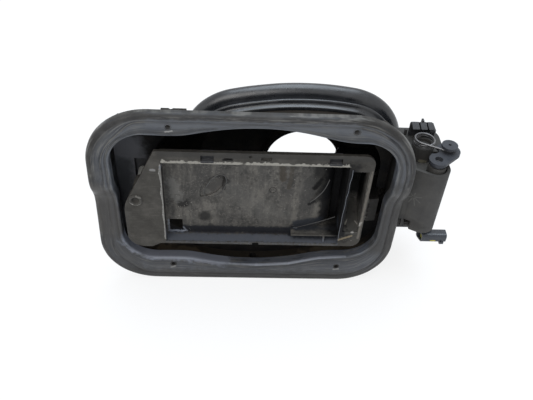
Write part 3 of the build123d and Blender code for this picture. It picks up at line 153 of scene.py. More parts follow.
def mesh_object(name: str, corners: Sequence[Vector] = (), faces: Sequence[tuple[int, ...]] = ()) -> Piece:
    """Makes an object of the given corners and faces."""
    mesh = bpy.data.meshes.new(name)
    mesh.from_pydata(corners, [], faces)
    return collect(bpy.data.objects.new(name, mesh))


def worked_object(name: str, work: bmesh.types.BMesh) -> Piece:
    """Makes an object of a bmesh and frees the bmesh."""
    obj = mesh_object(name)
    work.to_mesh(obj.data)
    work.free()
    return obj


def smoothed(mesh: bpy.types.Mesh, sharp_degrees: float = 38.0) -> None:
    """Shades a mesh smooth but for its edges over the given angle."""
    mesh.shade_smooth()
    mesh.set_sharp_from_angle(angle=math.radians(sharp_degrees))


def face_out(mesh: bpy.types.Mesh) -> None:
    """Turns the faces of a closed mesh outwards."""
    work = bmesh.new()
    work.from_mesh(mesh)
    bmesh.ops.remove_doubles(work, verts=work.verts, dist=1e-7)
    bmesh.ops.recalc_face_normals(work, faces=work.faces)
    work.to_mesh(mesh)
    work.free()


def evaluated_mesh(obj: Piece) -> bpy.types.Mesh:
    """Plain mesh of an object with its modifiers or curve settings applied."""
    bpy.context.view_layer.update()
    return bpy.data.meshes.new_from_object(obj.evaluated_get(bpy.context.evaluated_depsgraph_get()))


def applied(obj: Piece, helpers: Iterable[Piece] = ()) -> None:
    """Turns an object's modifiers into its plain mesh and removes the helper objects."""
    result = evaluated_mesh(obj)
    obj.modifiers.clear()
    obj.data = result
    for helper in helpers:
        bpy.data.objects.remove(helper)


def ring_object(name: str, rings: Sequence[Sequence[Vector]], shares: Sequence[float]) -> Piece:
    """Makes a closed ring-shaped body from profiles that follow each other round it.

    Args:
        name: Name of the object.
        rings: One closed profile for each step round the ring, all with as many points.
        shares: Share of the way across the skin at each point of a profile. The attribute "ring" holds
            it for the finish, after the cosine and sine of the way round.

    Returns:
        The object, with its faces pointing outwards.
    """
    count, depth = len(rings), len(rings[0])
    faces = []
    for i in range(count):
        here, there = i * depth, (i + 1) % count * depth
        faces += [(here + j, there + j, there + (j + 1) % depth, here + (j + 1) % depth) for j in range(depth)]
    body = mesh_object(name, [p for ring in rings for p in ring], faces)
    turns = [on_circle((0.0, 0.0), 1.0, FULL_TURN * i / count) for i in range(count)]
    values = [v for turn in turns for share in shares for v in (*turn, share)]
    body.data.attributes.new("ring", "FLOAT_VECTOR", "POINT").data.foreach_set("vector", values)
    face_out(body.data)
    smoothed(body.data)
    return body


def wire_object(name: str, points: Sequence[Vector], radius: float, sides: int = 12) -> Piece:
    """Makes a round wire along a line of points, with closed ends.

    Args:
        name: Name of the object.
        points: Points of the wire's middle line.
        radius: Radius of the wire in metres.
        sides: Faces round the wire, a multiple of four.

    Returns:
        The wire as a mesh object.
    """
    curve = bpy.data.curves.new(name, "CURVE")
    curve.dimensions = "3D"
    curve.bevel_depth = radius
    curve.bevel_resolution = sides // 4 - 1
    curve.use_fill_caps = True
    spline = curve.splines.new("POLY")
    spline.points.add(len(points) - 1)
    for knot, place in zip(spline.points, points):
        knot.co = (*place, 1.0)
    guide = collect(bpy.data.objects.new(name + "_guide", curve))
    mesh = evaluated_mesh(guide)
    bpy.data.objects.remove(guide)
    face_out(mesh)
    smoothed(mesh)
    mesh.name = name
    return collect(bpy.data.objects.new(name, mesh))


def dress(obj: Piece, material: bpy.types.Material) -> None:
    """Gives every material slot of an object the same material."""
    if not obj.material_slots:
        obj.data.materials.append(material)
    for slot in obj.material_slots:
        slot.material = material


# ---------------------------------------------------------------- node trees


class NodeNet:
    """The nodes of one tree, with short calls that add and join them."""

    def __init__(self, tree: bpy.types.NodeTree) -> None:
        """Takes the tree that the nodes go into."""
        self.tree, self.nodes = tree, tree.nodes

    def add(self, kind: str, inputs: dict | None = None, **settings: object) -> bpy.types.Node:
        """Adds a node.

        Args:
            kind: Type name of the node.
            inputs: Value or socket for each input, by name or number.
            **settings: Properties of the node itself.

        Returns:
            The node.
        """
        node = self.nodes.new(kind)
        for key, value in settings.items():
            setattr(node, key, value)
        for key, value in (inputs or {}).items():
            self.put(node.inputs[key], value)
        return node

    def put(self, socket: Socket, value: object) -> None:
        """Joins a socket to another, or writes a plain value into it."""
        if isinstance(value, Socket):
            self.tree.links.new(value, socket)
        else:
            socket.default_value = value

    def math(self, operation: str, a: object, b: object = 0.0, clamp: bool = False) -> Socket:
        """Result of one arithmetic step on two values or sockets."""
        return self.add("ShaderNodeMath", {0: a, 1: b}, operation=operation, use_clamp=clamp).outputs[0]

    def seen_rays(self) -> Socket:
        """Socket that is 1 for camera, glossy and transmitted rays, which see the white background."""
        path = self.add("ShaderNodeLightPath").outputs
        total = 0.0
        for name in ("Is Camera Ray", "Is Glossy Ray", "Is Transmission Ray"):
            total = self.math("ADD", path[name], total, clamp=True)
        return total


class Graph(NodeNet):
    """A material's nodes."""

    def __init__(self, name: str) -> None:
        """Starts a material that holds one Principled shader."""
        self.material = bpy.data.materials.new(name)
        self.material.use_nodes = True
        super().__init__(self.material.node_tree)
        self.shader = self.nodes["Principled BSDF"]
        coords = self.add("ShaderNodeTexCoord").outputs
        self.place, self.normal = coords["Object"], coords["Normal"]

    def vector(self, operation: str, a: object, b: object = (0.0, 0.0, 0.0), output: int = 0) -> Socket:
        """Result of one vector step: output 0 is a vector, and output 1 is a number."""
        return self.add("ShaderNodeVectorMath", {0: a, 1: b}, operation=operation).outputs[output]

    def part(self, vector: Socket, axis: int) -> Socket:
        """One component of a vector."""
        return self.add("ShaderNodeSeparateXYZ", {0: vector}).outputs[axis]

    def ring(self) -> Socket:
        """Cosine and sine of the way round a ring-shaped piece, and the share across its skin."""
        return self.add("ShaderNodeAttribute", attribute_name="ring").outputs["Vector"]

    def texture(self, vector: Socket, detail: float, rough: float) -> Socket:
        """Soft noise from 0 to 1 at a place of its own scale."""
        inputs = {"Vector": vector, "Scale": 1.0, "Detail": detail, "Roughness": rough}
        return self.add("ShaderNodeTexNoise", inputs).outputs[0]

    def noise(self, size: float, detail: float = 4.0, rough: float = 0.55,
              stretch: Point3 = (1.0, 1.0, 1.0)) -> Socket:
        """Soft noise from 0 to 1 whose patches are about size metres wide."""
        scaled_place = self.vector("MULTIPLY", self.place, tuple(1 / (size * s) for s in stretch))
        return self.texture(scaled_place, detail, rough)

    def ramp(self, value: object, low: float, high: float, start: float = 0.0, end: float = 1.0) -> Socket:
        """Smooth step of a value from start at low to end at high."""
        inputs = {"Value": value, "From Min": low, "From Max": high, "To Min": start, "To Max": end}
        return self.add("ShaderNodeMapRange", inputs, interpolation_type="SMOOTHSTEP").outputs[0]

    def cloud(self, size: float, low: float, high: float, amount: float = 1.0, detail: float = 4.0,
              rough: float = 0.55, stretch: Point3 = (1.0, 1.0, 1.0)) -> Socket:
        """Mask of noise patches, 0 where the noise is under low and amount where it is over high."""
        return self.ramp(self.noise(size, detail, rough, stretch), low, high, 0.0, amount)

    def mix(self, factor: object, a: object, b: object) -> Socket:
        """Colour between a and b."""
        a, b = ((*c, 1.0) if isinstance(c, tuple) else c for c in (a, b))
        inputs = {0: factor, COLOUR_A: a, COLOUR_B: b}
        return self.add("ShaderNodeMix", inputs, data_type="RGBA").outputs[COLOUR_OUT]


# ---------------------------------------------------------------- finishes


def scaled(colour: Colour, factor: float) -> Colour:
    """A lighter or darker colour."""
    return tuple(factor * c for c in colour)


@dataclass(frozen=True)
class Mark:
    """A stain, scuff, dusty line, painted shade or painted highlight between two places, on every face or on
    those that look one way.
    """

    start: Point3
    end: Point3
    radius: float
    colour: Colour
    strength: float = 0.7
    ragged: float = 0.6
    grain: float = 2.0
    facing: Point3 | None = None

    def paint(self, graph: Graph, datum: Datum, under: object) -> Socket:
        """Lays the mark over a colour.

        Args:
            graph: The material that is being built.
            datum: Turns the mark's drawing millimetres into metres.
            under: Colour socket below the mark.

        Returns:
            The colour with the mark on it.
        """
        start, end = datum.at(*self.start), datum.at(*self.end)
        along = end - start
        away = graph.vector("SUBTRACT", graph.place, tuple(start))
        if self.start != self.end:
            share = graph.vector("DOT_PRODUCT", away, tuple(along / along.length_squared), 1)
            share = graph.math("MINIMUM", graph.math("MAXIMUM", share, 0.0), 1.0)
            scale = {0: tuple(along), "Scale": share}
            foot = graph.add("ShaderNodeVectorMath", scale, operation="SCALE").outputs[0]
            away = graph.vector("SUBTRACT", away, foot)
        distance = graph.vector("LENGTH", away, output=1)
        radius = self.radius / PER_METRE
        drift = graph.math("SUBTRACT", graph.noise(self.grain / PER_METRE, 3.0), 0.5)
        reach = graph.math("ADD", distance, graph.math("MULTIPLY", drift, self.ragged * radius * 2))
        mask = graph.ramp(reach, radius * MARK_CORE, radius, self.strength, 0.0)
        if self.facing is not None:
            turned = graph.vector("DOT_PRODUCT", graph.normal, self.facing, 1)
            mask = graph.math("MULTIPLY", mask, graph.ramp(turned, *FACING_RAMP))
        return graph.mix(mask, under, self.colour)


@dataclass(frozen=True)
class Finish:
    """A surface: its colours, wear, roughness and fine grain."""

    name: str
    colour: Colour
    patches: Colour
    dust: Colour
    dust_amount: float = 0.3
    upward_dust: float = 0.0
    roughness: float = 0.5
    spread: float = 0.1
    grain: float = 0.0006
    grain_depth: float = 0.25
    rounding: float = 0.0004
    edge_colour: Colour = (0.12, 0.12, 0.12)
    edge_wear: float = 0.35
    specular: float = 0.5
    metallic: float = 0.0
    marks: tuple[Mark, ...] = ()

    def tint(self, graph: Graph) -> Socket:
        """Base colour with broad and fine patches."""
        colour = graph.mix(graph.cloud(0.03, 0.35, 0.65), self.colour, self.patches)
        fine = graph.cloud(0.004, 0.3, 0.75, 1.0, 6.0, 0.65)
        return graph.mix(graph.math("MULTIPLY", fine, 0.35), colour, scaled(self.colour, 0.72))

    def soiling(self, graph: Graph, under: object) -> Socket:
        """Dust in soft drifts, thicker on faces that look up."""
        drifts = graph.cloud(0.014, 0.42, 0.72, self.dust_amount, 7.0, 0.62)
        specks = graph.cloud(0.0011, 0.6, 0.72, self.dust_amount * 0.7, 3.0, 0.6)
        lying = graph.ramp(graph.part(graph.normal, 2), 0.3, 0.95, 0.0, self.upward_dust)
        amount = graph.math("MAXIMUM", graph.math("MAXIMUM", drifts, specks), lying)
        return graph.mix(amount, under, self.dust)

    def worn_edges(self, graph: Graph, bent: Socket, under: object) -> Socket:
        """Lighter colour where the rounded normal leaves the flat one, which is at the edges."""
        flat = graph.add("ShaderNodeNewGeometry").outputs["Normal"]
        edge = graph.ramp(graph.vector("DOT_PRODUCT", bent, flat, 1), 0.995, 0.9, 0.0, self.edge_wear)
        broken = graph.cloud(0.003, 0.35, 0.6, 1.0, 5.0)
        return graph.mix(graph.math("MULTIPLY", edge, broken), under, self.edge_colour)

    def bumps(self, graph: Graph, bent: Socket | None) -> Socket:
        """Normal with the fine grain and a few scratches pressed in."""
        scratch = graph.cloud(0.0016, 0.6, 0.72, 0.35, 2.0, 0.5, (14.0, 1.0, 0.7))
        height = graph.math("SUBTRACT", graph.noise(self.grain, 3.0, 0.6), scratch)
        inputs = {"Strength": self.grain_depth, "Distance": self.grain * 0.5, "Height": height}
        if bent is not None:
            inputs["Normal"] = bent
        return graph.add("ShaderNodeBump", inputs).outputs[0]

    def build(self, datum: Datum) -> bpy.types.Material:
        """Builds the material.

        Args:
            datum: Turns the marks' drawing millimetres into metres.

        Returns:
            The finished material.
        """
        graph = Graph(self.name)
        colour = self.soiling(graph, self.tint(graph))
        bent = None
        if self.rounding:
            bent = graph.add("ShaderNodeBevel", {"Radius": self.rounding}, samples=4).outputs[0]
            colour = self.worn_edges(graph, bent, colour)
        for mark in self.marks:
            colour = mark.paint(graph, datum, colour)
        smooth, rough = self.roughness - self.spread, self.roughness + self.spread
        dull = graph.ramp(graph.noise(0.009, 5.0), 0.3, 0.7, smooth, rough)
        values = {"Base Color": colour, "Roughness": dull, "Specular IOR Level": self.specular,
                  "Metallic": self.metallic, "Normal": self.bumps(graph, bent)}
        for name, value in values.items():
            graph.put(graph.shader.inputs[name], value)
        return graph.material


@dataclass(frozen=True)
class SoftRubber(Finish):
    """Soft moulded skin: a low sheen, hand marks along it and no hard edges."""

    rounding: float = 0.0
    edge_wear: float = 0.0

    def soiling(self, graph: Graph, under: object) -> Socket:
        """Dust drifts, and long faint wipe marks."""
        dusty = super().soiling(graph, under)
        wipes = graph.cloud(0.002, 0.55, 0.8, self.dust_amount * 0.6, 4.0, 0.6, (16.0, 3.0, 1.0))
        return graph.mix(wipes, dusty, self.dust)


@dataclass(frozen=True)
class RingSkin(SoftRubber):
    """Rubber of a ring-shaped piece, with wipe marks and scratches that run round it."""

    run_scale: Point3 = (5.5, 5.5, 34.0)
    run_strength: float = 0.6

    def runs(self, graph: Graph, finer: float) -> Socket:
        """Mask of streaks that follow the ring, finer by a factor."""
        place = graph.vector("MULTIPLY", graph.ring(), scaled(self.run_scale, finer))
        return graph.ramp(graph.texture(place, 5.0, 0.62), 0.50, 0.64, 0.0, self.run_strength)

    def soiling(self, graph: Graph, under: object) -> Socket:
        """Dust drifts with light and dark streaks round the ring."""
        dusty = super().soiling(graph, under)
        streaked = graph.mix(self.runs(graph, 1.0), dusty, scaled(self.dust, 1.25))
        return graph.mix(self.runs(graph, 1.7), streaked, scaled(self.colour, 0.5))


@dataclass(frozen=True)
class LipSkin(RingSkin):
    """The lip's rubber: browner on its rolled edge, with painted shade in its groove, a bluish painted sheen on
    the band, a painted highlight at the opening's edge and bluish painted light on its skirt.
    """

    # Tones across the lip: brownish rolled edge, painted shade in the groove at 0.25, bluish painted sheen on
    # the band, darker towards the opening, a painted highlight at its edge at 0.955 and bluish painted light on
    # the skirt.
    tones_with_painted_light: tuple[tuple[float, Colour], ...] = (
        (0.00, (0.024, 0.022, 0.020)), (0.07, (0.027, 0.025, 0.023)), (0.13, (0.058, 0.059, 0.062)),
        (0.22, (0.066, 0.068, 0.074)), (0.25, (0.026, 0.026, 0.028)), (0.30, (0.076, 0.080, 0.089)),
        (0.50, (0.078, 0.083, 0.094)), (0.66, (0.058, 0.061, 0.067)), (0.80, (0.038, 0.039, 0.042)),
        (0.90, (0.046, 0.048, 0.052)), (0.955, (0.120, 0.128, 0.142)), (0.985, (0.075, 0.082, 0.097)),
        (1.00, (0.080, 0.088, 0.106)),
    )

    def tint(self, graph: Graph) -> Socket:
        """Colour by the share of the way across the lip, with its painted shade, sheen and highlight, broken up
        by soft patches.
        """
        drift = graph.math("MULTIPLY", graph.math("SUBTRACT", graph.noise(0.018), 0.5), 0.12)
        share = graph.math("ADD", graph.part(graph.ring(), 2), drift)
        ramp = graph.add("ShaderNodeValToRGB", {0: share})
        stops = ramp.color_ramp.elements
        while len(stops) < len(self.tones_with_painted_light):
            stops.new(0.5)
        for stop, (place, colour) in zip(stops, self.tones_with_painted_light):
            stop.position, stop.color = place, (*colour, 1.0)
        return graph.mix(graph.cloud(0.05, 0.35, 0.65, 0.3), ramp.outputs[0], self.patches)


@dataclass(frozen=True)
class StainedMoulding(Finish):
    """Moulding with water and dust runs down it, dark stains between them."""

    stains: Colour = (0.03, 0.029, 0.027)
    frame_colour: Colour = (0.052, 0.048, 0.042)
    frame_depth: Point2 = (-0.0625, -0.0600)

    def tint(self, graph: Graph) -> Socket:
        """Plain brownish front frame, and stains on what lies behind it."""
        behind = graph.ramp(graph.part(graph.place, 1), *self.frame_depth)
        scratched = graph.cloud(0.0014, 0.55, 0.75, 0.35, 4.0, 0.6, (9.0, 1.0, 0.8))
        frame = graph.mix(scratched, self.frame_colour, self.dust)
        cloudy = graph.cloud(0.01, 0.45, 0.65, 0.45, 5.0)
        frame = graph.mix(cloudy, frame, scaled(self.frame_colour, 0.62))
        return graph.mix(behind, frame, self.stained(graph))

    def stained(self, graph: Graph) -> Socket:
        """Base colour with upright runs, dark clouds, flecks and pits."""
        under = super().tint(graph)
        runs = (0.006, 0.4, 0.68, 0.75, 5.0, 0.6, (1.0, 1.0, 5.0))
        clouds = (0.012, 0.5, 0.66, 0.75, 6.0, 0.62, (1.0, 1.0, 1.5))
        flecks = (0.0016, 0.5, 0.72, 0.55, 6.0, 0.7)
        pits = (0.0022, 0.5, 0.7, 0.5, 5.0, 0.7, (1.0, 1.0, 1.4))
        for cloud, colour in ((runs, self.dust), (clouds, self.stains), (flecks, scaled(self.dust, 1.5)),
                              (pits, self.stains)):
            under = graph.mix(graph.cloud(*cloud), under, colour)
        return under


@dataclass(frozen=True)
class BareMetal(Finish):
    """Steel or brass with drawing lines and a dull film."""

    metallic: float = 1.0
    grain: float = 0.0003

    def tint(self, graph: Graph) -> Socket:
        """Metal colour with darker drawing lines along the part."""
        lines = graph.cloud(0.0005, 0.3, 0.7, 1.0, 3.0, 0.6, (1.0, 1.0, 12.0))
        return graph.mix(graph.math("MULTIPLY", lines, 0.5), self.colour, self.patches)


def trail(points: Sequence[Point3], *look: object) -> tuple[Mark, ...]:
    """Marks end to end along a line of points, whose look is the fields of a mark after its two places."""
    return tuple(Mark(a, b, *look) for a, b in zip(points, points[1:]))


# Near-black painted shade for the carrier's deep channel and its slots.
PAINTED_SHADE_BLACK = (0.012, 0.0115, 0.011)

# Pale strokes on the lower and upper sides of the flap's buffer, and a darker middle.
BUFFER_MARKS = (
    Mark((-91.0, 7.2, 0.6), (-87.5, 7.2, -1.9), 1.2, (0.34, 0.325, 0.295), 0.95, 0.5, 1.2),
    Mark((-87.5, 7.2, -1.9), (-83.4, 7.2, -0.4), 1.0, (0.26, 0.25, 0.22), 0.9, 0.5, 1.2),
    Mark((-86.0, 7.2, 7.6), (-83.0, 7.2, 6.0), 0.9, (0.2, 0.19, 0.17), 0.8, 0.6, 1.2),
    Mark((-86.8, 8.0, 3.2), (-86.8, 8.0, 3.2), 2.9, (0.040, 0.035, 0.029), 0.9, 0.3, 1.5),
)

# Brown dust on the lip's sides and foot, rubs round its holes, a bluish painted sheen along its top, bluish
# painted light on its lower inner skirt and a painted highlight along its lower inner edge.
LIP_MARKS = (
    # Bluish painted sheen along the lip's top band.
    Mark((-70, 0, 80.5), (70, 0, 80.5), 4.6, (0.100, 0.104, 0.112), 0.6, 0.6, 5),
    Mark((-114, 8, 16), (-111, 12, -30), 17, (0.049, 0.045, 0.041), 0.75, 0.5, 8),
    Mark((-111, 12, -45), (-92, 12, -82), 10, (0.045, 0.043, 0.041), 0.55, 0.5, 6),
    Mark((113, 8, 24), (111, 12, -48), 14, (0.042, 0.040, 0.038), 0.75, 0.5, 8),
    Mark((-95, 12, -88), (95, 12, -88), 11, (0.042, 0.040, 0.038), 0.7, 0.5, 4),
    # Bluish painted light on the lip's lower inner skirt.
    *trail(((-100, 17, -46), (-93, 18, -57), (-80, 18, -64.5), (-45, 17, -66), (-20, 17, -70.5)), 8,
           (0.17, 0.178, 0.205), 0.85, 0.6, 5),
    # Painted highlight along the lower inner edge of the opening.
    *trail(((-99, 13, -50), (-91, 13, -60), (-76, 13, -66.2), (-46, 13, -66.8), (-15, 13, -71.8),
            (8, 13, -73.4), (35, 13, -71.2), (60, 13, -63.6), (82, 13, -61)), 1.7,
           (0.21, 0.22, 0.245), 0.75, 0.4, 3),
    Mark((-60, 0, 73.6), (-55.5, 0, 74.4), 1.1, (0.30, 0.29, 0.27), 0.7, 0.8, 1.2),
    Mark((-64, 12, -77.5), (-61, 12, -76), 1.2, (0.26, 0.25, 0.23), 0.6, 0.8, 1.2),
    Mark((74, 12, -77.2), (78, 12, -76.4), 1.2, (0.28, 0.27, 0.25), 0.6, 0.8, 1.2),
)

# Stains, scuffs and dusty lines of the flap carrier, with painted shade in its hollows, channels, slots and
# gaps, and painted highlights on edges of its lower left corner, its gusset and its lower channel.
CARRIER_MARKS = (
    # Painted shade over the deep right part of the tray and its channel.
    Mark((62, 20, 4), (58, 20, 38), 18, (0.010, 0.0098, 0.0095), 0.85, 0.5, 9),
    Mark((74, 18, -30), (73, 18, 38), 17, (0.006, 0.006, 0.0065), 0.97, 0.3, 5),
    Mark((81, 30, 36), (81, 30, 6), 20, (0.004, 0.004, 0.004), 1.0, 0.15, 5),
    Mark((69, 33, 36), (70, 33, -30), 10, (0.0025, 0.0025, 0.003), 0.97, 0.2, 4),
    Mark((62, 24, 36), (66, 27, 2), 9, (0.005, 0.005, 0.0055), 0.92, 0.5, 5),
    Mark((82, 26, -14), (83, 12, -25), 10, (0.055, 0.052, 0.046), 0.7, 1.3, 3),
    Mark((82.5, 27, -12), (88.5, 9, -27), 0.8, (0.30, 0.28, 0.24), 0.8, 0.9, 2),
    Mark((83, 24, -14.5), (76, 12, -26), 0.7, (0.20, 0.185, 0.155), 0.75, 0.9, 2),
    Mark((79, 22, -16), (87, 14, -24), 0.6, (0.24, 0.22, 0.19), 0.7, 0.9, 2),
    # Painted shade along the divider, and its soft edge on the tray floor.
    Mark((61, 24, 6), (61, 24, -27), 7, (0.008, 0.008, 0.009), 0.9, 0.5, 4),
    Mark((46, 20.3, 14), (44, 20.2, -12), 7, (0.035, 0.034, 0.033), 0.6, 0.5, 4),
    Mark((23, 20, 33), (25, 20, 16), 3.4, (0.046, 0.038, 0.029), 0.75, 0.8, 4),
    Mark((31, 20, 28), (30, 20, 8), 2.4, (0.05, 0.043, 0.034), 0.65, 0.8, 4),
    *trail(((-66.6, 8, 38), (-67.5, 8, 30), (-66.4, 8, 20), (-67.3, 8, 10), (-66.3, 8, 0), (-67.1, 8, -12),
            (-66.2, 8, -24), (-66.8, 8, -38)), 0.65, (0.25, 0.24, 0.22), 0.75, 1.3, 1.6),
    # Painted shade in the gap along the tray's left edge.
    Mark((-66, 12, 38), (-66, 12, -36), 3.4, (0.012, 0.012, 0.013), 0.85, 0.8, 2.5),
    # Painted shadow in the second crater.
    Mark((57.4, 20, 19.1), (50.6, 20, 8), 3.4, (0.005, 0.005, 0.005), 0.95, 0.35, 3),
    Mark((60.5, 20, 12), (52, 20, -3), 2.2, (0.060, 0.057, 0.052), 0.8, 0.4, 3),
    # Painted shadow in the second crater.
    Mark((56, 20, -3), (47, 20, -9), 2.0, (0.006, 0.006, 0.006), 0.85, 0.5, 3),
    # Painted shade along the channel's edge on the front face.
    Mark((74.2, 7.6, -30), (74.2, 7.6, 36), 3.2, (0.008, 0.008, 0.009), 0.95, 0.3, 3),
    # Painted shade deep behind the tray's right end.
    Mark((106, 34, 10), (106, 34, -30), 22, PAINTED_SHADE_BLACK, 0.95, 0.2, 6),
    Mark((-52.5, 20, -10.2), (-52.5, 20, -10.2), 6.8, (0.020, 0.019, 0.018), 0.9, 0.4, 4),
    Mark((-35.4, 20, -24), (-35.4, 20, -24), 7.4, (0.022, 0.021, 0.020), 0.9, 0.4, 4),
    Mark((-30.7, 20, -34.1), (-30.7, 20, -34.1), 3.4, (0.03, 0.028, 0.027), 0.7, 0.4, 3),
    Mark((-64, 8, 41.0), (70, 8, 40.8), 1.9, (0.32, 0.30, 0.26), 0.8, 1.5, 3),
    # Painted shade of two slots on the carrier's top.
    Mark((-20.6, 8, 44.3), (-14.6, 8, 44.5), 1.5, PAINTED_SHADE_BLACK, 0.95, 0.5, 1.5),
    Mark((7.6, 8, 46.0), (13.4, 8, 46.2), 1.6, PAINTED_SHADE_BLACK, 0.95, 0.4, 1.5),
    Mark((-66, 8, 48.5), (86, 8, 48.2), 3.4, (0.040, 0.038, 0.035), 0.7, 0.6, 4),
    # Painted shade inside the almond crater, and painted light on its lower left rim.
    Mark((-18, 20, 13), (-24, 20, 18), 3.2, (0.022, 0.021, 0.020), 0.8, 0.4, 3),
    Mark((-34, 20, 1), (-22, 20, 13), 4.5, (0.085, 0.081, 0.074), 0.6, 1.2, 2.5),
    Mark((-29, 20, 6), (-22, 20, 15), 5.2, (0.040, 0.037, 0.034), 0.65, 0.4, 4),
    Mark((-20.5, 20, 6), (-20.5, 20, 17), 2.2, (0.014, 0.013, 0.012), 0.8, 0.5, 3),
    Mark((-66, 8, 38), (-66, 8, -38), 1.1, (0.22, 0.21, 0.19), 0.6, 0.9, 3),
    Mark((82.5, 8, -26.9), (88.2, 8, -16.6), 1.5, (0.36, 0.34, 0.31), 0.75, 1.0, 1.6),
    Mark((72.4, 8, -36.4), (82.3, 8, -31.5), 1.3, (0.24, 0.19, 0.12), 0.6, 0.8, 2),
    Mark((89, 8, 36), (88, 8, -34), 1.2, (0.17, 0.15, 0.125), 0.5, 0.8, 4),
    Mark((-73.5, 8, 33.2), (-71, 8, 33.2), 1.5, (0.26, 0.25, 0.24), 0.6, 0.8, 1.5),
    # Bluish painted highlights on the tray's lower left edges and its top left corner.
    Mark((-63, 19, -41), (-54, 19, -41.2), 1.8, (0.17, 0.185, 0.22), 0.85, 1.0, 1.5),
    Mark((-65.5, 12, -38), (-66, 10, -30), 2.4, (0.11, 0.12, 0.14), 0.7, 1.2, 2),
    Mark((-66, 8, 36), (-65.6, 14, 33), 1.6, (0.15, 0.155, 0.17), 0.7, 1.2, 1.5),
    Mark((-60, 20, 12), (-56, 20, -6), 5.5, (0.15, 0.145, 0.135), 0.45, 1.3, 3),
    Mark((-10, 20, 0), (20, 20, -22), 14, (0.11, 0.105, 0.095), 0.3, 1.0, 8),
    # Painted shade in the lower channel.
    Mark((-60, 21, -38.5), (66, 21, -38.5), 5.5, (0.014, 0.015, 0.019), 0.92, 0.3, 2),
    # Bluish painted sheen on the lower channel's band.
    Mark((-64, 13, -41.2), (71, 13, -41.2), 6.0, (0.105, 0.113, 0.132), 0.85, 0.5, 2),
    # Painted shade on the gusset, on its block's left edge and below it.
    Mark((40, 19, -31), (72, 19, -27), 7, (0.022, 0.025, 0.031), 0.9, 0.25, 3),
    Mark((34.6, 18, -33), (34.6, 18, -41), 3.2, (0.016, 0.018, 0.022), 0.9, 0.4, 2),
    Mark((38, 16, -38.5), (71, 16, -38.5), 5, (0.030, 0.033, 0.040), 0.9, 0.3, 2),
    # Painted highlights along the gusset's upper edges.
    *trail(((35.6, 17.7, -33.9), (48, 17.7, -29.0), (60, 17.7, -24.0), (69, 17.7, -19.6)), 0.8,
           (0.16, 0.175, 0.20), 0.75, 0.7, 1.5),
    Mark((36, 17.7, -34.6), (71, 17.7, -34.2), 0.7, (0.20, 0.215, 0.24), 0.7, 0.9, 1.5),
    # Bluish painted highlights round the lower left square hole.
    Mark((-64.5, 20, -41), (-52, 20, -41.2), 1.3, (0.30, 0.32, 0.36), 0.85, 1.0, 1.5),
    Mark((-64.6, 20, -29), (-64.6, 20, -41), 1.2, (0.22, 0.23, 0.255), 0.8, 1.0, 1.5),
    Mark((-53.0, 20, -37), (-50.5, 20, -41), 1.0, (0.22, 0.23, 0.255), 0.7, 1.0, 1.2),
    # Painted shade over the hollow of the flap's arm.
    Mark((98.7, 19.4, 6), (98.7, 19.4, -24), 8, (0.016, 0.015, 0.014), 0.85, 1.3, 2.5),
)

# Brown leaf-shaped stains on the pot's floor, rubs on its right wall, and painted light on its outer top and
# its left inner wall.
POT_MARKS = (
    Mark((-70, 25, -66), (-20, 20, -68), 7, (0.075, 0.058, 0.04), 0.6, 1.1, 7),
    Mark((20, 22, -68), (75, 22, -62), 7, (0.07, 0.055, 0.038), 0.55, 1.1, 7),
    # Painted light on the pot's outer top.
    Mark((-40, 56, 74), (110, 56, 74), 30, (0.075, 0.073, 0.072), 0.9, 0.3, 8),
    # Painted light on the pot's left inner wall.
    Mark((-96, 30, 36), (-92, 30, 8), 21, (0.105, 0.104, 0.110), 0.9, 0.35, 7, FRONTWARD),
    Mark((-98, 26, 20), (-97, 26, -40), 11, (0.040, 0.041, 0.044), 0.85, 0.4, 6),
    Mark((102, 16, 10), (104, 30, -20), 5, (0.045, 0.042, 0.038), 0.6, 1.6, 2.2),
    Mark((60, 28, -64), (100, 22, -58), 6, (0.06, 0.05, 0.036), 0.55, 1.2, 4),
)


def housing_marks() -> tuple[Mark, ...]:
    """Star-shaped scuff, oblique scratches and a pale rub on the hinge housing's slanted front, and painted
    shade on the floor of its pocket.
    """
    middle, sideways, upward = Vector((128.5, 19.0, 2.5)), Vector((0.89, -0.47, 0)), Vector((0, 0, 1))
    rays = []
    for angle, reach in ((0.3, 6), (1.4, 4.5), (2.4, 4.5), (3.4, 5), (4.3, 7.5), (5.0, 8.5), (5.7, 7)):
        ray = sideways * math.cos(angle) + upward * math.sin(angle)
        start, end = tuple(middle + ray * 1.2), tuple(middle + ray * reach)
        rays.append(Mark(start, end, 0.5, (0.11, 0.105, 0.096), 0.7, 1.6, 1.0))
    return (
        *rays,
        Mark((118, 24.6, 12), (121, 23, -2), 0.6, (0.11, 0.105, 0.095), 0.6, 1.2, 1.2),
        Mark((119, 24.1, 21), (124, 21.4, 21), 2.4, (0.20, 0.18, 0.13), 0.6, 1.2, 2),
        Mark((133, 38.5, 23.2), (137, 38.5, 22.6), 2.2, (0.24, 0.22, 0.16), 0.7, 0.9, 2),
        Mark((125, 20.9, -24), (138, 14.0, -26), 6, (0.034, 0.032, 0.030), 0.6, 0.8, 5),
        # Painted shade on the floor of the housing's pocket.
        Mark((104, 36, -29), (110, 40, -29), 13, (0.008, 0.008, 0.008), 0.95, 0.3, 4),
    )

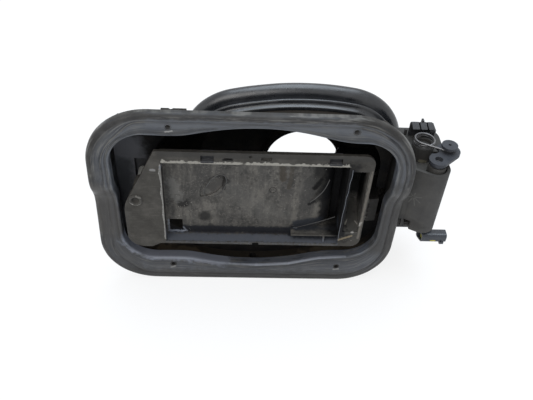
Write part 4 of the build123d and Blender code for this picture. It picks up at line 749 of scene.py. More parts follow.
FINISHES: dict[str, Finish] = {
    finish.name: finish
    for finish in (
        LipSkin("lip_skin", (0.062, 0.065, 0.072), (0.050, 0.050, 0.053), (0.12, 0.115, 0.105),
                0.30, 0.0, 0.46, 0.10, 0.0011, 0.18, specular=0.2, marks=LIP_MARKS),
        RingSkin("boot_skin", (0.009, 0.010, 0.012), (0.012, 0.013, 0.016), (0.05, 0.05, 0.055),
                 0.12, 0.0, 0.30, 0.05, 0.0012, 0.10, specular=0.6, run_strength=0.2),
        # Near-black base colour: painted shade that keeps the pot's inside dark.
        Finish("pot_moulding_painted_shade", (0.006, 0.006, 0.0065), (0.009, 0.0085, 0.008), (0.045, 0.036, 0.026),
               0.22, 0.35, 0.5, 0.10, edge_colour=(0.04, 0.04, 0.04), specular=0.08, marks=POT_MARKS),
        StainedMoulding("carrier_moulding", (0.056, 0.053, 0.049), (0.072, 0.068, 0.062), (0.135, 0.124, 0.108),
                        0.30, 0.08, 0.6, 0.10, 0.0009, 0.3, edge_colour=(0.19, 0.18, 0.165), edge_wear=0.7,
                        specular=0.1, marks=CARRIER_MARKS),
        Finish("housing_moulding", (0.050, 0.048, 0.046), (0.062, 0.059, 0.055), (0.095, 0.088, 0.076),
               0.3, 0.0, 0.6, 0.08, 0.0007, 0.35, specular=0.12, marks=housing_marks()),
        Finish("clip_moulding", (0.022, 0.022, 0.024), (0.032, 0.032, 0.034), (0.12, 0.12, 0.125),
               0.3, 0.5, 0.5, 0.1, specular=0.15),
        Finish("anchor_moulding", (0.026, 0.026, 0.028), (0.034, 0.034, 0.037), (0.11, 0.105, 0.1),
               0.2, 0.08, 0.5, specular=0.2),
        Finish("lever_moulding", (0.030, 0.032, 0.038), (0.038, 0.041, 0.048), (0.09, 0.09, 0.095),
               0.2, 0.05, 0.45, specular=0.2),
        Finish("plug_moulding", (0.016, 0.019, 0.026), (0.022, 0.026, 0.034), (0.09, 0.095, 0.105),
               0.15, 0.0, 0.28, 0.06, 0.0008, 0.1, specular=0.45),
        Finish("natural_moulding", (0.60, 0.59, 0.55), (0.52, 0.51, 0.47), (0.3, 0.28, 0.24),
               0.2, 0.05, 0.42),
        SoftRubber("buffer_skin", (0.060, 0.056, 0.050), (0.075, 0.070, 0.062), (0.16, 0.15, 0.13),
                   0.35, 0.0, 0.6, 0.1, specular=0.15, marks=BUFFER_MARKS),
        Finish("yellow_seal", (0.42, 0.38, 0.06), (0.34, 0.31, 0.05), (0.2, 0.18, 0.1), 0.25, 0.05, 0.5),
        Finish("yellow_moulding", (0.55, 0.46, 0.05), (0.48, 0.40, 0.05), (0.2, 0.18, 0.1), 0.2, 0.05, 0.42),
        BareMetal("spring_wire", (0.17, 0.17, 0.175), (0.10, 0.10, 0.105), (0.09, 0.085, 0.08),
                  0.35, 0.0, 0.42, 0.08, rounding=0.0, edge_wear=0.0),
        BareMetal("ground_steel", (0.42, 0.42, 0.43), (0.30, 0.30, 0.31), (0.14, 0.12, 0.10),
                  0.2, 0.0, 0.32, 0.06),
        BareMetal("plated_steel", (0.50, 0.50, 0.49), (0.40, 0.40, 0.38), (0.2, 0.18, 0.14),
                  0.2, 0.0, 0.35, 0.06),
        BareMetal("tinned_brass", (0.60, 0.50, 0.28), (0.50, 0.42, 0.24), (0.2, 0.18, 0.14),
                  0.15, 0.0, 0.3, 0.05),
        Finish("raised_edge", (0.085, 0.083, 0.080), (0.055, 0.054, 0.053), (0.16, 0.15, 0.135),
               0.5, 0.2, 0.6, rounding=0.0, edge_wear=0.0, specular=0.15),
        Finish("pale_flash", (0.16, 0.17, 0.19), (0.09, 0.095, 0.105), (0.24, 0.24, 0.24),
               0.4, 0.0, 0.5, rounding=0.0, edge_wear=0.0, specular=0.3),
        Finish("loose_grit", (0.30, 0.285, 0.255), (0.18, 0.165, 0.14), (0.36, 0.34, 0.3),
               0.5, 0.0, 0.8, 0.08, rounding=0.0, edge_wear=0.0),
    )
}

FINISH_OF_SLOT = {
    "pot_plastic": "pot_moulding_painted_shade", "housing_plastic": "housing_moulding", "bush_plastic": "natural_moulding",
    "anchor_plastic": "anchor_moulding", "spring_steel": "spring_wire", "carrier_plastic": "carrier_moulding",
    "clip_plastic": "clip_moulding", "shaft_steel": "ground_steel", "lever_plastic": "lever_moulding",
    "latch_plastic": "anchor_moulding", "screw_steel": "plated_steel", "actuator_plastic": "anchor_moulding",
    "motor_steel": "plated_steel", "plug_plastic": "plug_moulding", "seal_yellow": "yellow_seal",
    "retainer_yellow": "yellow_moulding", "terminal_brass": "tinned_brass", "lip_rubber": "lip_skin",
    "boot_rubber": "boot_skin", "buffer_rubber": "buffer_skin",
}


@dataclass
class Paintbox:
    """Makes each finish once and hands it out."""

    datum: Datum
    made: dict[str, bpy.types.Material] = field(default_factory=dict)

    def get(self, name: str) -> bpy.types.Material:
        """Material of a finish, built at its first use."""
        if name not in self.made:
            self.made[name] = FINISHES[name].build(self.datum)
        return self.made[name]


# ---------------------------------------------------------------- geometry node trees


class NodeTool(NodeNet):
    """A Geometry Nodes tree with named inputs, used once and turned into a plain mesh."""

    def __init__(self, name: str, inputs: dict[str, str]) -> None:
        """Starts a tree.

        Args:
            name: Name of the tree.
            inputs: Kind of each named input, besides the geometry and the material.
        """
        super().__init__(bpy.data.node_groups.new(name, "GeometryNodeTree"))
        face = self.tree.interface
        kinds = {"Geometry": "Geometry", **inputs, "Material": "Material"}
        self.ids = {key: face.new_socket(name=key, in_out="INPUT", socket_type="NodeSocket" + kind).identifier
                    for key, kind in kinds.items()}
        face.new_socket(name="Geometry", in_out="OUTPUT", socket_type="NodeSocketGeometry")
        self.given = self.add("NodeGroupInput").outputs
        self.sink = self.add("NodeGroupOutput").inputs[0]

    def finish(self, shape: Socket) -> "NodeTool":
        """Ends the tree in Realize Instances and Set Material, and gives it back."""
        real = self.add("GeometryNodeRealizeInstances", {0: shape}).outputs[0]
        paint = self.add("GeometryNodeSetMaterial", {"Geometry": real, "Material": self.given["Material"]})
        self.put(self.sink, paint.outputs[0])
        return self

    def run(self, obj: Piece, values: dict[str, object]) -> None:
        """Runs the tree on an object and keeps the result as its plain mesh.

        Args:
            obj: Object that carries the points or faces to work on.
            values: Value of each named input.
        """
        modifier = obj.modifiers.new(self.tree.name, "NODES")
        modifier.node_group = self.tree
        for key, value in values.items():
            modifier[self.ids[key]] = value
        applied(obj)


def rim_tool() -> NodeTool:
    """Tree that sets a round raised rim, facing out of the module, at each point."""
    tool = NodeTool("rims_at_points", {"Rim radius": "Float", "Bead radius": "Float"})
    circle = "GeometryNodeCurvePrimitiveCircle"
    path = tool.add(circle, {"Resolution": 40, "Radius": tool.given["Rim radius"]}).outputs[0]
    bead = tool.add(circle, {"Resolution": 10, "Radius": tool.given["Bead radius"]}).outputs[0]
    body = tool.add("GeometryNodeCurveToMesh", {"Curve": path, "Profile Curve": bead}).outputs[0]
    points = tool.add("GeometryNodeMeshToPoints", {"Mesh": tool.given["Geometry"]}).outputs[0]
    inputs = {"Points": points, "Instance": body, "Rotation": (math.pi / 2, 0.0, 0.0)}
    return tool.finish(tool.add("GeometryNodeInstanceOnPoints", inputs).outputs[0])


def grit_tool() -> NodeTool:
    """Tree that scatters crumbs of grit over faces."""
    density = "Crumbs per square metre"
    tool = NodeTool("grit_on_faces", {density: "Float", "Smallest": "Float", "Largest": "Float", "Seed": "Int"})
    given, seed = tool.given, tool.given["Seed"]
    spread = tool.add("GeometryNodeDistributePointsOnFaces",
                      {"Mesh": given["Geometry"], "Density": given[density], "Seed": seed})
    size = tool.add("FunctionNodeRandomValue", {2: given["Smallest"], 3: given["Largest"], "Seed": seed},
                    data_type="FLOAT")
    turn = tool.add("FunctionNodeRandomValue", {0: (0.0, 0.0, 0.0), 1: ANY_TURN, "Seed": seed},
                    data_type="FLOAT_VECTOR")
    crumb = tool.add("GeometryNodeMeshIcoSphere", {"Radius": 1.0, "Subdivisions": 1})
    inputs = {"Points": spread.outputs["Points"], "Instance": crumb.outputs[0], "Scale": size.outputs[1],
              "Rotation": turn.outputs[0]}
    return tool.finish(tool.add("GeometryNodeInstanceOnPoints", inputs).outputs[0])


# ---------------------------------------------------------------- outlines


def circle_height(p: Point2, q: Point2, r: Point2) -> Callable[[float], float]:
    """Height of the circle through three points, as a function of x.

    Args:
        p: First point, x and z in millimetres.
        q: Middle point, which tells whether the arc bulges up or down.
        r: Last point.

    Returns:
        Function that gives z for an x between the first and last points.
    """
    ax, az, bx, bz = q[0] - p[0], q[1] - p[1], r[0] - p[0], r[1] - p[1]
    cross = 2 * (ax * bz - az * bx)
    cx = (bz * (ax * ax + az * az) - az * (bx * bx + bz * bz)) / cross
    cz = (ax * (bx * bx + bz * bz) - bx * (ax * ax + az * az)) / cross
    radius = math.hypot(cx, cz)
    sign = 1.0 if q[1] > (p[1] + r[1]) / 2 else -1.0
    return lambda x: p[1] + cz + sign * math.sqrt(max(0.0, radius ** 2 - (x - p[0] - cx) ** 2))


def rounded_outline(corners: Sequence[Point2], radii: Sequence[float], side: int,
                    arc: int) -> list[list[Vector]]:
    """Sides and corner arcs of a rounded four-sided outline.

    Args:
        corners: Top left, top right, bottom right and bottom left, in millimetres.
        radii: Radius at each corner.
        side: Points along each side.
        arc: Points along each arc.

    Returns:
        Eight runs of points: a side, then the arc after it, clockwise from the top side.
    """
    points = [Vector(c) for c in corners]
    arcs = []
    for i, corner in enumerate(points):
        back = (points[i - 1] - corner).normalized()
        ahead = (points[(i + 1) % 4] - corner).normalized()
        half = back.angle(ahead) / 2
        centre = corner + (back + ahead).normalized() * (radii[i] / math.sin(half))
        first = corner + back * (radii[i] / math.tan(half)) - centre
        last = corner + ahead * (radii[i] / math.tan(half)) - centre
        sweep = math.pi - 2 * half
        arcs.append(([], centre + last))
        for k in range(arc):
            t = k / arc
            near, far = math.sin((1 - t) * sweep) / math.sin(sweep), math.sin(t * sweep) / math.sin(sweep)
            arcs[-1][0].append(centre + (first * near + last * far))
    runs = []
    for i in range(4):
        start, end = arcs[i][1], arcs[(i + 1) % 4][0][0]
        runs.append([start.lerp(end, k / side) for k in range(side)])
        runs.append(arcs[(i + 1) % 4][0])
    return runs


def outward(points: Sequence[Vector]) -> list[Vector]:
    """Outward normal at each point of a closed clockwise outline."""
    normals = []
    for i in range(len(points)):
        tangent = (points[(i + 1) % len(points)] - points[i - 1]).normalized()
        normals.append(Vector((-tangent.y, tangent.x)))
    return normals


# ---------------------------------------------------------------- sub-assemblies


@dataclass
class Assembly:
    """A sub-assembly, with its sizes as fields in drawing millimetres."""

    datum: Datum
    paints: Paintbox

    def build(self) -> list[Piece]:
        """Makes the pieces and dresses them.

        Returns:
            The new pieces.
        """
        raise NotImplementedError


class Row(Enum):
    """Line that a row of the lip's profile is measured from."""

    OUTER = "outer edge, inwards"
    GROOVE = "groove's middle, inwards"
    BAND = "share of the way over the flat band"
    INNER = "opening, outwards"


@dataclass
class LipSeal(Assembly):
    """Soft lip round the pot's mouth: bead, groove, flat band, rolled inner edge and skirt."""

    top: float = 88.0
    bottom: float = -92.0
    top_x: Point2 = (-116.4, 119.0)
    bottom_x: Point2 = (-121.5, 120.0)
    outer_radii: tuple[float, ...] = (46.0, 52.0, 43.0, 43.0)
    opening: tuple[Point2, ...] = ((-101.0, 70.5), (105.0, 66.5), (105.0, -61.0), (-101.0, -66.4))
    inner_radius: float = 26.0
    swell_x: Point2 = (-45.0, 62.0)
    swell_peak: Point3 = (8.0, 77.9, -73.4)
    swell_end: Point2 = (67.5, -62.0)
    swell_blend: int = 26
    crease_z: Point2 = (31.0, -8.0)
    crease_drop: float = 12.0
    groove_in: Point2 = (6.6, 10.8)
    groove_side: Point2 = (0.2, 0.7)
    groove_rim: float = 0.12
    groove_fade: float = 0.72
    band_ends: Point2 = (1.2, 3.2)
    wave_size: float = 26.0
    wave_height: float = 0.5
    wave_depth: float = 2.5
    hole_radius: float = 1.8
    hole_sides: int = 32
    cutter_length: float = 20.0
    holes: tuple[Point2, ...] = ((-58.0, 77.8), (70.2, 77.8), (-62.2, -73.4), (75.8, -73.4))
    rim_radii: Point2 = (2.4, 0.42)
    rim_seat: float = 0.45
    side_points: int = 72
    arc_points: int = 26
    halvings: int = 30

    def crease(self, z: float) -> float:
        """How far the lip steps back into the car at height z."""
        first, last = self.crease_z
        pull = 3 * (first + last) / 2
        low, high = 0.0, 1.0
        for _ in range(self.halvings):
            t = (low + high) / 2
            height = first * (1 - t) ** 3 + pull * (1 - t) ** 2 * t + pull * (1 - t) * t ** 2 + last * t ** 3
            low, high = (t, high) if height > z else (low, t)
        return self.crease_drop * (3 * low ** 2 - 2 * low ** 3)

    def on_crease(self, x: float, z: float, depth: float) -> Vector:
        """Place in metres of a point at a depth behind the creased face."""
        return self.datum.at(x, self.crease(z) + depth, z)

    def inner_runs(self) -> list[list[Vector]]:
        """Opening outline with its swollen top and bottom sides."""
        runs = rounded_outline(self.opening, (self.inner_radius,) * 4, self.side_points, self.arc_points)
        first, last = self.swell_x
        peak_x, peak_top, peak_low = self.swell_peak
        tops = circle_height((first, self.opening[0][1]), (peak_x, peak_top), (last, self.swell_end[0]))
        lows = circle_height((first, self.opening[3][1]), (peak_x, peak_low), (last, self.swell_end[1]))
        for run, curve in ((runs[0], tops), (runs[4], lows)):
            for point in run:
                if first < point.x < last:
                    point.y = curve(point.x)
            for _ in range(self.swell_blend):
                heights = [p.y for p in run]
                for k in range(1, len(run) - 1):
                    run[k].y = (heights[k - 1] + 2 * heights[k] + heights[k + 1]) / 4
        return runs

    def profile(self) -> list[tuple[Row, float, float]]:
        """Rows of the closed profile: line they are measured from, offset, depth."""
        out, groove, band, inner = Row.OUTER, Row.GROOVE, Row.BAND, Row.INNER
        return [
            (out, 0, 6), (out, 0, 5), (out, 0, 3.4), (out, 0.3, 2.1), (out, 0.9, 1.1), (out, 1.8, 0.42),
            (out, 3.0, 0.08), (out, 4.3, 0.0),
            (groove, -1.2, 0.12), (groove, -0.6, 0.7), (groove, 0, 1.1), (groove, 0.6, 0.75),
            (groove, 1.2, 0.32),
            (band, 0.15, 0.18), (band, 0.35, 0.15), (band, 0.55, 0.2), (band, 0.75, 0.3), (band, 0.92, 0.42),
            (inner, 3.2, 0.55), (inner, 2.6, 0.75), (inner, 1.9, 0.5), (inner, 1.1, 0.38), (inner, 0.45, 0.7),
            (inner, 0.08, 1.4), (inner, 0, 2.4), (inner, 0, 4.5), (inner, 0.15, 6.5), (inner, 0, 8.6),
            (inner, 0.3, 9), (inner, 1.7, 9), (inner, 2, 8.6), (inner, 2, 3.0),
            (out, 6.5, 3.0), (out, 6.5, 6.0),
        ]

    def across(self) -> list[float]:
        """Share of the way from the outer edge to the opening at each row of the profile, for the finish."""
        shares = {Row.OUTER: lambda v, _: 0.02 * v, Row.GROOVE: lambda v, _: 0.25 + 0.02 * v,
                  Row.BAND: lambda v, _: 0.3 + 0.5 * v,
                  Row.INNER: lambda v, d: 0.97 - 0.04 * v + 0.01 * min(d, 9)}
        return [shares[row](offset, depth) for row, offset, depth in self.profile()]

    def section(self, edge: Vector, edge_out: Vector, mouth: Vector, mouth_out: Vector) -> list[Vector]:
        """Profile of the lip between one point of its edge and one of its opening.

        Args:
            edge: Point of the outer edge, x and z in millimetres.
            edge_out: Outward normal there.
            mouth: Matching point of the opening.
            mouth_out: Normal there, away from the opening.

        Returns:
            Points of the closed profile in metres.
        """
        front, full = self.groove_side
        side = min(1.0, max(0.0, (-edge_out.x - front) / (full - front)))
        near, far = self.groove_in
        groove_at = near + (far - near) * side * side * (3 - 2 * side)
        start = edge - edge_out * (groove_at + self.band_ends[0])
        end = mouth + mouth_out * self.band_ends[1]
        points = []
        for row, offset, depth in self.profile():
            if row is Row.OUTER:
                flat = edge - edge_out * offset
            elif row is Row.GROOVE:
                flat = edge - edge_out * (groove_at + offset)
                depth = self.groove_rim + (depth - self.groove_rim) * (1.0 - self.groove_fade * side)
            elif row is Row.BAND:
                flat = start.lerp(end, offset)
            else:
                flat = mouth + mouth_out * offset
            if depth < self.wave_depth:
                wave = noise.noise(Vector((flat.x, flat.y, 0)) / self.wave_size)
                depth += max(0.0, wave) * self.wave_height
            points.append(self.on_crease(flat.x, flat.y, depth))
        return points

    def hole_cutter(self, x: float, z: float) -> Piece:
        """Rod that cuts one of the small holes."""
        work = bmesh.new()
        radius = self.hole_radius / PER_METRE
        turned = Matrix.Translation(self.on_crease(x, z, 0.0)) @ Matrix.Rotation(math.pi / 2, 4, "X")
        bmesh.ops.create_cone(work, segments=self.hole_sides, radius1=radius, radius2=radius, cap_ends=True,
                              depth=self.cutter_length / PER_METRE, matrix=turned)
        return worked_object("hole_cutter", work)

    def build(self) -> list[Piece]:
        """Makes the lip and the small raised rims of its holes.

        Returns:
            The new pieces.
        """
        corners = ((self.top_x[0], self.top), (self.top_x[1], self.top),
                   (self.bottom_x[1], self.bottom), (self.bottom_x[0], self.bottom))
        runs = rounded_outline(corners, self.outer_radii, self.side_points, self.arc_points)
        outer, inner = ([p for run in line for p in run] for line in (runs, self.inner_runs()))
        rings = [self.section(*parts) for parts in zip(outer, outward(outer), inner, outward(inner))]
        lip = ring_object("lip_skin_ring", rings, self.across())
        cutters = [self.hole_cutter(x, z) for x, z in self.holes]
        for cutter in cutters:
            cut = lip.modifiers.new("hole", "BOOLEAN")
            cut.operation, cut.solver, cut.object = "DIFFERENCE", "EXACT", cutter
        applied(lip, cutters)
        dress(lip, self.paints.get("lip_skin"))
        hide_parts("lip_seal")
        rims = mesh_object("lip_hole_rims", [self.on_crease(x, z, self.rim_seat) for x, z in self.holes])
        rim, bead = (radius / PER_METRE for radius in self.rim_radii)
        rim_tool().run(rims, {"Rim radius": rim, "Bead radius": bead, "Material": self.paints.get("lip_skin")})
        for piece in (lip, rims):
            smoothed(piece.data)
            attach(piece, "housing")
        return [lip, rims]


@dataclass
class NeckBoot(Assembly):
    """Rear rubber boot: sleeve on the collar, thin ridge, valley and thick hollow bead."""

    centre: Point2 = (35.7, -1.0)
    half_size: Point2 = (79.5, 43.7)
    arch_radius: float = 236.0
    tilt: float = 2.5
    steps: int = 220
    dense_steps: int = 3600
    sag: float = 0.35
    sag_size: float = 30.0
    sag_from: float = 6.8
    full_depth: float = 100.0
    profile: tuple[Point2, ...] = (
        (0.02, 75), (2.4, 75), (3, 75.6), (3, 77.6), (3.4, 78.4), (5, 79.0), (6.5, 79.4), (7, 80.0), (7, 81.0),
        (6.5, 81.6), (5.2, 82.1), (4.4, 82.8), (4.4, 83.5), (5.4, 84.0), (7.6, 84.5), (9.8, 85.4), (11.8, 87.0),
        (13.3, 89.2), (14, 91.3), (13.8, 93.2), (12.8, 95.1), (11.0, 96.4), (9.2, 96.9), (7.6, 97), (5, 97),
        (2.5, 97), (0.02, 97), (0.02, 90), (0.02, 84), (0.02, 79),
    )

    def outline(self) -> list[tuple[Vector, Vector]]:
        """Points of the collar's oval with their outward normals, evenly spaced along it."""
        wide, high = self.half_size
        rise = self.arch_radius - high
        end_radius = (self.arch_radius ** 2 - wide ** 2 - rise ** 2) / (2 * (self.arch_radius - wide))
        end_offset = wide - end_radius
        split = end_offset / (self.arch_radius - end_radius)
        dense = []
        for k in range(self.dense_steps):
            angle = FULL_TURN * k / self.dense_steps
            normal = Vector((math.cos(angle), math.sin(angle)))
            if abs(normal.x) > split:
                point = Vector((math.copysign(end_offset, normal.x), 0)) + normal * end_radius
            else:
                point = Vector((0, -math.copysign(rise, normal.y))) + normal * self.arch_radius
            dense.append((point, normal))
        turn = Matrix.Rotation(math.radians(self.tilt), 2)
        centre = Vector(self.centre)
        lengths = [0.0]
        for (p, _), (q, _) in zip(dense, dense[1:] + dense[:1]):
            lengths.append(lengths[-1] + (q - p).length)
        chosen, k = [], 0
        for step in range(self.steps):
            goal = lengths[-1] * step / self.steps
            while lengths[k + 1] < goal:
                k += 1
            chosen.append((turn @ dense[k][0] + centre, turn @ dense[k][1]))
        return chosen

    def build(self) -> list[Piece]:
        """Makes the boot.

        Returns:
            The new piece in a list.
        """
        rings = []
        for point, normal in self.outline():
            soft = max(0.0, self.sag * noise.noise(Vector((point.x, point.y, 0)) / self.sag_size))
            grown = [point + normal * (out - (soft if out > self.sag_from else 0.0)) for out, _ in self.profile]
            rings.append([self.datum.at(p.x, depth, p.y) for p, (_, depth) in zip(grown, self.profile)])
        boot = ring_object("boot_skin_ring", rings, [depth / self.full_depth for _, depth in self.profile])
        smoothed(boot.data, SOFT_EDGE)
        dress(boot, self.paints.get("boot_skin"))
        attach(boot, "housing")
        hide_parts("neck_boot")
        return [boot]


@dataclass
class OverCentreSpring(Assembly):
    """Wire spring: pin in the anchor, leg, coil, free leg and the eye round the lever's post."""

    coil: Point2 = (135.5, 47.0)
    coil_radius: float = 7.6
    pivot: Point2 = (143.5, 62.5)
    post: Point2 = (151.6, 35.1)
    eye_radius: float = 4.05
    eye_wrap: float = 215.0
    wire_radius: float = 0.75
    pitch: float = 1.75
    start_z: float = 35.1
    whole_turns: int = 2
    bend: float = 1.6
    reach: float = 2.6
    bend_steps: int = 8
    coil_steps: int = 150
    eye_steps: int = 40

    def line(self) -> list[Point3]:
        """Middle line of the wire in drawing millimetres."""
        (cx, cy), (px, py) = self.coil, self.pivot
        towards = math.atan2(py - cy, px - cx)
        first = towards + math.acos(self.coil_radius / math.dist(self.coil, self.pivot))
        along = math.atan2(self.post[1] - cy, self.post[0] - cx)
        spread = math.acos((self.eye_radius - self.coil_radius) / math.dist(self.coil, self.post))
        last = along + spread + math.pi
        turn = FULL_TURN * self.whole_turns + (last - first) % FULL_TURN
        touch = on_circle(self.coil, self.coil_radius, first)
        leg = math.dist(self.pivot, touch)
        ux, uy = (touch[0] - px) / leg, (touch[1] - py) / leg
        points = [(px, py, self.start_z - self.bend - self.reach)]
        for k in range(self.bend_steps + 1):
            a = math.pi / 2 * k / self.bend_steps
            out = self.bend * (1 - math.cos(a))
            points.append((px + ux * out, py + uy * out, self.start_z - self.bend + self.bend * math.sin(a)))
        for k in range(self.coil_steps + 1):
            z = self.start_z + self.pitch * turn / FULL_TURN * k / self.coil_steps
            points.append((*on_circle(self.coil, self.coil_radius, first + turn * k / self.coil_steps), z))
        top = points[-1][2]
        for k in range(self.eye_steps + 1):
            a = last + math.radians(self.eye_wrap) * k / self.eye_steps
            points.append((*on_circle(self.post, self.eye_radius, a), top))
        return points

    def build(self) -> list[Piece]:
        """Makes the spring's wire.

        Returns:
            The new piece in a list.
        """
        points = [self.datum.at(*p) for p in self.line()]
        wire = wire_object("spring_wire_bent", points, self.wire_radius / PER_METRE)
        dress(wire, self.paints.get("spring_wire"))
        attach(wire, "spring")
        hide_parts("over_centre_spring")
        return [wire]


@dataclass
class LatchSpring(Assembly):
    """Coil spring behind the latch's plunger, whose one end goes with the plunger and the other stays in the
    body; here it is wound in its rest place and stays there.
    """

    coil_radius: float = 1.9
    wire_radius: float = 0.42
    turns: int = 8
    steps: int = 20

    def build(self) -> list[Piece]:
        """Winds the spring in the place of its node.

        Returns:
            The new piece in a list.
        """
        low, high = (Vector(corner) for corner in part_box("latch_spring"))
        middle = (low + high) / 2
        radius, wire = self.coil_radius / PER_METRE, self.wire_radius / PER_METRE
        front, back = low.y + wire, high.y - wire
        points = []
        for k in range(self.turns * self.steps + 1):
            x, z = on_circle((middle.x, middle.z), radius, FULL_TURN * k / self.steps)
            points.append(Vector((x, front + (back - front) * (k / (self.turns * self.steps)), z)))
        coil = wire_object("latch_spring_coil", points, wire, SLIM_SIDES)
        smoothed(coil.data, SOFT_EDGE)
        dress(coil, self.paints.get("spring_wire"))
        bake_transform(coil)
        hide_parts("latch_spring")
        return [coil]


@dataclass
class FlapBuffer(Assembly):
    """Soft buffer at the flap's free end, with a worn crown and a dimple in its middle."""

    steps: int = 56
    profile: tuple[Point2, ...] = (
        (0, 0.16), (0.25, 0.16), (0.42, 0.14), (0.5, 0.08), (0.6, 0.02), (0.74, 0.0), (0.88, 0.03), (0.97, 0.1),
        (1.0, 0.2), (1.0, 0.34), (0.52, 0.36), (0.52, 0.98), (0.45, 1.0), (0, 1.0),
    )

    def build(self) -> list[Piece]:
        """Turns the buffer's profile, shares of its radius and depth, about the middle of its node.

        Returns:
            The new piece in a list.
        """
        low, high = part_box("flap_buffer")
        middle = (Vector(low) + Vector(high)) / 2
        radius = (high[2] - low[2]) / 2
        front, depth = low[1], high[1] - low[1]
        work = bmesh.new()
        rows = []
        for out, back in self.profile:
            rows.append([])
            for k in range(self.steps if out else 1):
                x, z = on_circle((middle.x, middle.z), radius * out, FULL_TURN * k / self.steps)
                rows[-1].append(work.verts.new((x, front + back * depth, z)))
        for a, b in zip(rows, rows[1:]):
            for k in range(self.steps):
                n = (k + 1) % self.steps
                loop = [a[k % len(a)], a[n % len(a)], b[n % len(b)], b[k % len(b)]]
                work.faces.new(list(dict.fromkeys(loop)))
        bmesh.ops.recalc_face_normals(work, faces=work.faces)
        buffer = worked_object("buffer_skin_turned", work)
        smoothed(buffer.data, 50)
        dress(buffer, self.paints.get("buffer_skin"))
        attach(buffer, "flap")
        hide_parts("flap_buffer")
        return [buffer]


@dataclass
class CarrierDetails(Assembly):
    """Fine raised lines of the flap carrier: crater rims, gusset edges and torn flash."""

    edges: tuple[tuple[str, float, tuple[Point3, ...]], ...] = (
        ("crater", 0.32, ((-35.5, 19.9, -1.5), (-31, 19.9, -3.6), (-26, 19.9, -2.0), (-21.5, 19.9, 3.5),
                          (-18.6, 19.9, 10.5), (-18.4, 19.9, 16.5), (-20.6, 19.9, 20.2), (-24.2, 19.9, 20.6),
                          (-28.5, 19.9, 17.0), (-33, 19.9, 10.0), (-36, 19.9, 3.5), (-35.5, 19.9, -1.5))),
        ("crescent", 0.34, ((60.5, 19.9, 17.5), (58.2, 19.9, 8.0), (54.0, 19.9, 0.5), (47.5, 19.9, -6.5))),
        ("gusset", 0.26, ((35.5, 17.6, -33.8), (48, 17.6, -29.0), (60, 17.6, -24.0), (69.0, 17.6, -19.6))),
        ("gusset", 0.26, ((35.5, 17.6, -34.4), (52, 17.6, -34.3), (70.5, 17.6, -34.0))),
    )
    flash: tuple[Point3, ...] = (
        (74.2, 7.85, 37.5), (74.6, 7.85, 31.0), (73.4, 7.85, 24.0), (73.9, 7.85, 16.5), (72.7, 7.85, 9.0),
        (73.1, 7.85, 1.0), (72.2, 7.85, -8.0), (72.3, 7.85, -18.0), (72.0, 7.85, -30.0), (72.2, 7.85, -37.0),
    )
    flash_radius: float = 0.2

    def softened(self, points: Sequence[Point3]) -> list[Vector]:
        """Points of a smooth line through the given corners, in metres."""
        line = [Vector(p) for p in points]
        for _ in range(3):
            cut = [line[0]]
            for a, b in zip(line, line[1:]):
                cut += [a.lerp(b, 0.25), a.lerp(b, 0.75)]
            line = cut + [line[-1]]
        return [self.datum.at(*p) for p in line]

    def build(self) -> list[Piece]:
        """Makes the raised lines.

        Returns:
            The new pieces.
        """
        wires = [(f"{kind}_edge_{number}", radius, points, "raised_edge")
                 for number, (kind, radius, points) in enumerate(self.edges)]
        wires.append(("torn_flash", self.flash_radius, self.flash, "pale_flash"))
        pieces = []
        for name, radius, points, finish in wires:
            piece = wire_object(name, self.softened(points), radius / PER_METRE, SLIM_SIDES)
            dress(piece, self.paints.get(finish))
            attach(piece, "flap")
            pieces.append(piece)
        return pieces


@dataclass
class LooseGrit(Assembly):
    """Crumbs of road dirt on the flap carrier."""

    smallest: float = 0.08
    patches: tuple[tuple[Point3, Point2, float, float, int], ...] = (
        ((-63, 19.95, -26), (-45, -8), 90000, 0.38, 3),
        ((-52.5, 19.95, -40), (-46, -34), 120000, 0.34, 4),
        ((-64, 7.95, 40.3), (70, 41.4), 420000, 0.42, 5),
        ((50, 7.95, 40.6), (72, 43.5), 500000, 0.45, 8),
        ((-60, 19.95, -20), (60, 30), 9000, 0.3, 11),
        ((74.5, 7.95, -37), (86, -32), 160000, 0.4, 13),
    )

    def build(self) -> list[Piece]:
        """Scatters the crumbs over thin patches and joins them into one piece.

        Returns:
            The new piece in a list.
        """
        tool = grit_tool()
        whole = bmesh.new()
        for (left, y, low), (right, high), density, largest, seed in self.patches:
            corners = [self.datum.at(x, y, z) for x, z in rectangle((left, low), (right, high))]
            patch = mesh_object("grit_patch", corners, [(0, 1, 2, 3)])
            tool.run(patch, {"Crumbs per square metre": float(density), "Smallest": self.smallest / PER_METRE,
                             "Largest": largest / PER_METRE, "Seed": seed,
                             "Material": self.paints.get("loose_grit")})
            whole.from_mesh(patch.data)
            bpy.data.objects.remove(patch)
        grit = worked_object("loose_grit_crumbs", whole)
        dress(grit, self.paints.get("loose_grit"))
        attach(grit, "flap")
        return [grit]


@dataclass
class Mouldings:
    """The hard nodes that keep their own shape and get their finish by material slot."""

    subparts: Sequence[dict]

    def build(self, nodes: dict[str, Piece], paints: Paintbox) -> list[Piece]:
        """Dresses every node of the frame.

        Args:
            nodes: The frame's nodes by name.
            paints: Hands out the finishes.

        Returns:
            The nodes.
        """
        for part in self.subparts:
            dress(nodes[part["node"]], paints.get(FINISH_OF_SLOT[part["material_slot"]]))
        return [nodes[part["node"]] for part in self.subparts]


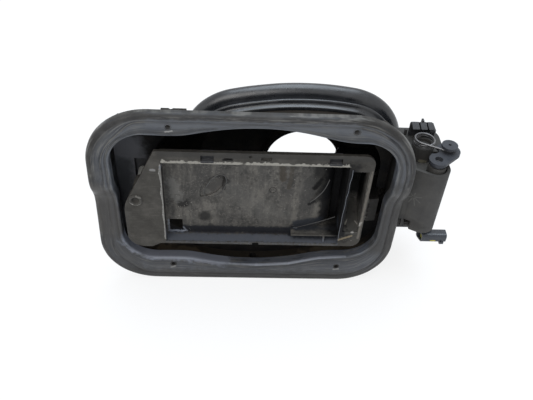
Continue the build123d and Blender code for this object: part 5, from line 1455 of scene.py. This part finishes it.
@dataclass
class Studio:
    """Pale floor, soft daylight and the camera of the picture."""

    camera_at: Point3 = (-0.05586, -0.42263, 0.33776)
    elevation: float = 42.7
    azimuth: float = 4.0
    roll: float = 3.94
    lens: float = 43.43
    sensor: float = 36.0
    ambient: Colour = (0.50, 0.52, 0.56)
    lamps: tuple[tuple[str, Point3, float, float, Colour], ...] = (
        ("front_sun", (-0.45, -0.70, 0.70), 1.1, 40.0, (1.0, 0.985, 0.96)),
        ("top_sky", (0.04, 0.18, 0.98), 2.7, 52.0, (0.80, 0.90, 1.0)),
    )
    floor_reach: float = 4.0
    floor_glow: float = 0.82

    def camera(self) -> None:
        """Sets the camera up."""
        data = bpy.data.cameras.new("picture_camera")
        data.lens = self.lens
        data.sensor_width = self.sensor
        data.sensor_fit = "HORIZONTAL"
        data.clip_start = 0.01
        camera = collect(bpy.data.objects.new("picture_camera", data))
        e, a, r = (math.radians(v) for v in (self.elevation, self.azimuth, self.roll))
        ahead = Vector((math.sin(a) * math.cos(e), math.cos(a) * math.cos(e), -math.sin(e)))
        right = Vector((math.cos(a), -math.sin(a), 0))
        up = Vector((math.sin(a) * math.sin(e), math.cos(a) * math.sin(e), math.cos(e)))
        across = right * math.cos(r) + up * math.sin(r)
        upright = up * math.cos(r) - right * math.sin(r)
        camera.matrix_world = Matrix.Translation(self.camera_at) @ Matrix(
            (across, upright, -ahead)).transposed().to_4x4()
        bpy.context.scene.camera = camera

    def world(self) -> None:
        """Plain daylight round the object, white where it is seen."""
        world = bpy.data.worlds.new("daylight")
        world.use_nodes = True
        net = NodeNet(world.node_tree)
        plain = net.nodes["Background"]
        net.put(plain.inputs[0], (*self.ambient, 1.0))
        white = net.add("ShaderNodeBackground", {0: WHITE})
        mixed = net.add("ShaderNodeMixShader", {0: net.seen_rays(), 1: plain.outputs[0], 2: white.outputs[0]})
        net.put(net.nodes["World Output"].inputs[0], mixed.outputs[0])
        bpy.context.scene.world = world

    def light(self) -> None:
        """Two broad soft lamps: one in front on the left, one overhead for the sheen on the rubber."""
        for name, towards, strength, angle, colour in self.lamps:
            data = bpy.data.lights.new(name, "SUN")
            data.energy, data.angle, data.color = strength, math.radians(angle), colour
            lamp = collect(bpy.data.objects.new(name, data))
            lamp.rotation_euler = Vector(towards).to_track_quat("Z", "Y").to_euler()

    def floor(self, height: float) -> None:
        """Adds a white floor, whose top is at a height in metres, that keeps a faint shadow."""
        reach = self.floor_reach
        corners = [(x, y, height) for x, y in rectangle((-reach, -reach), (reach, reach))]
        floor = mesh_object("pale_floor", corners, [(0, 1, 2, 3)])
        graph = Graph("pale_floor")
        tone = graph.mix(graph.cloud(0.4, 0.3, 0.7), (0.86, 0.86, 0.86), (0.88, 0.88, 0.88))
        for name, value in (("Base Color", tone), ("Roughness", 0.9), ("Specular IOR Level", 0.1)):
            graph.put(graph.shader.inputs[name], value)
        glow = graph.add("ShaderNodeEmission", {"Color": WHITE, "Strength": 1.0})
        share = graph.math("MULTIPLY", graph.seen_rays(), self.floor_glow)
        mixed = graph.add("ShaderNodeMixShader", {0: share, 1: graph.shader.outputs[0], 2: glow.outputs[0]})
        graph.put(graph.nodes["Material Output"].inputs[0], mixed.outputs[0])
        dress(floor, graph.material)
        floor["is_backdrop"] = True

    def build(self, floor_height: float) -> None:
        """Sets up camera, light and floor."""
        bpy.context.scene.view_settings.view_transform = "Standard"
        self.camera()
        self.world()
        self.light()
        self.floor(floor_height)


def main() -> None:
    """Builds and dresses every sub-assembly in order."""
    logging.basicConfig(level=logging.INFO, format="%(name)s: %(message)s")
    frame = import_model()
    cad_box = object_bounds()
    datum = Datum.from_record(frame["record"])
    paints = Paintbox(datum)
    Studio().build(cad_box[0][2])
    for node in Mouldings(frame["record"]["subparts"]).build(frame["nodes"], paints):
        LOG.info("dressed node %s", node.name)
    for kind in (LipSeal, NeckBoot, OverCentreSpring, LatchSpring, FlapBuffer, CarrierDetails, LooseGrit):
        for piece in kind(datum, paints).build():
            LOG.info("built %s with %d faces", piece.name, len(piece.data.polygons))


if __name__ == "__main__":
    main()
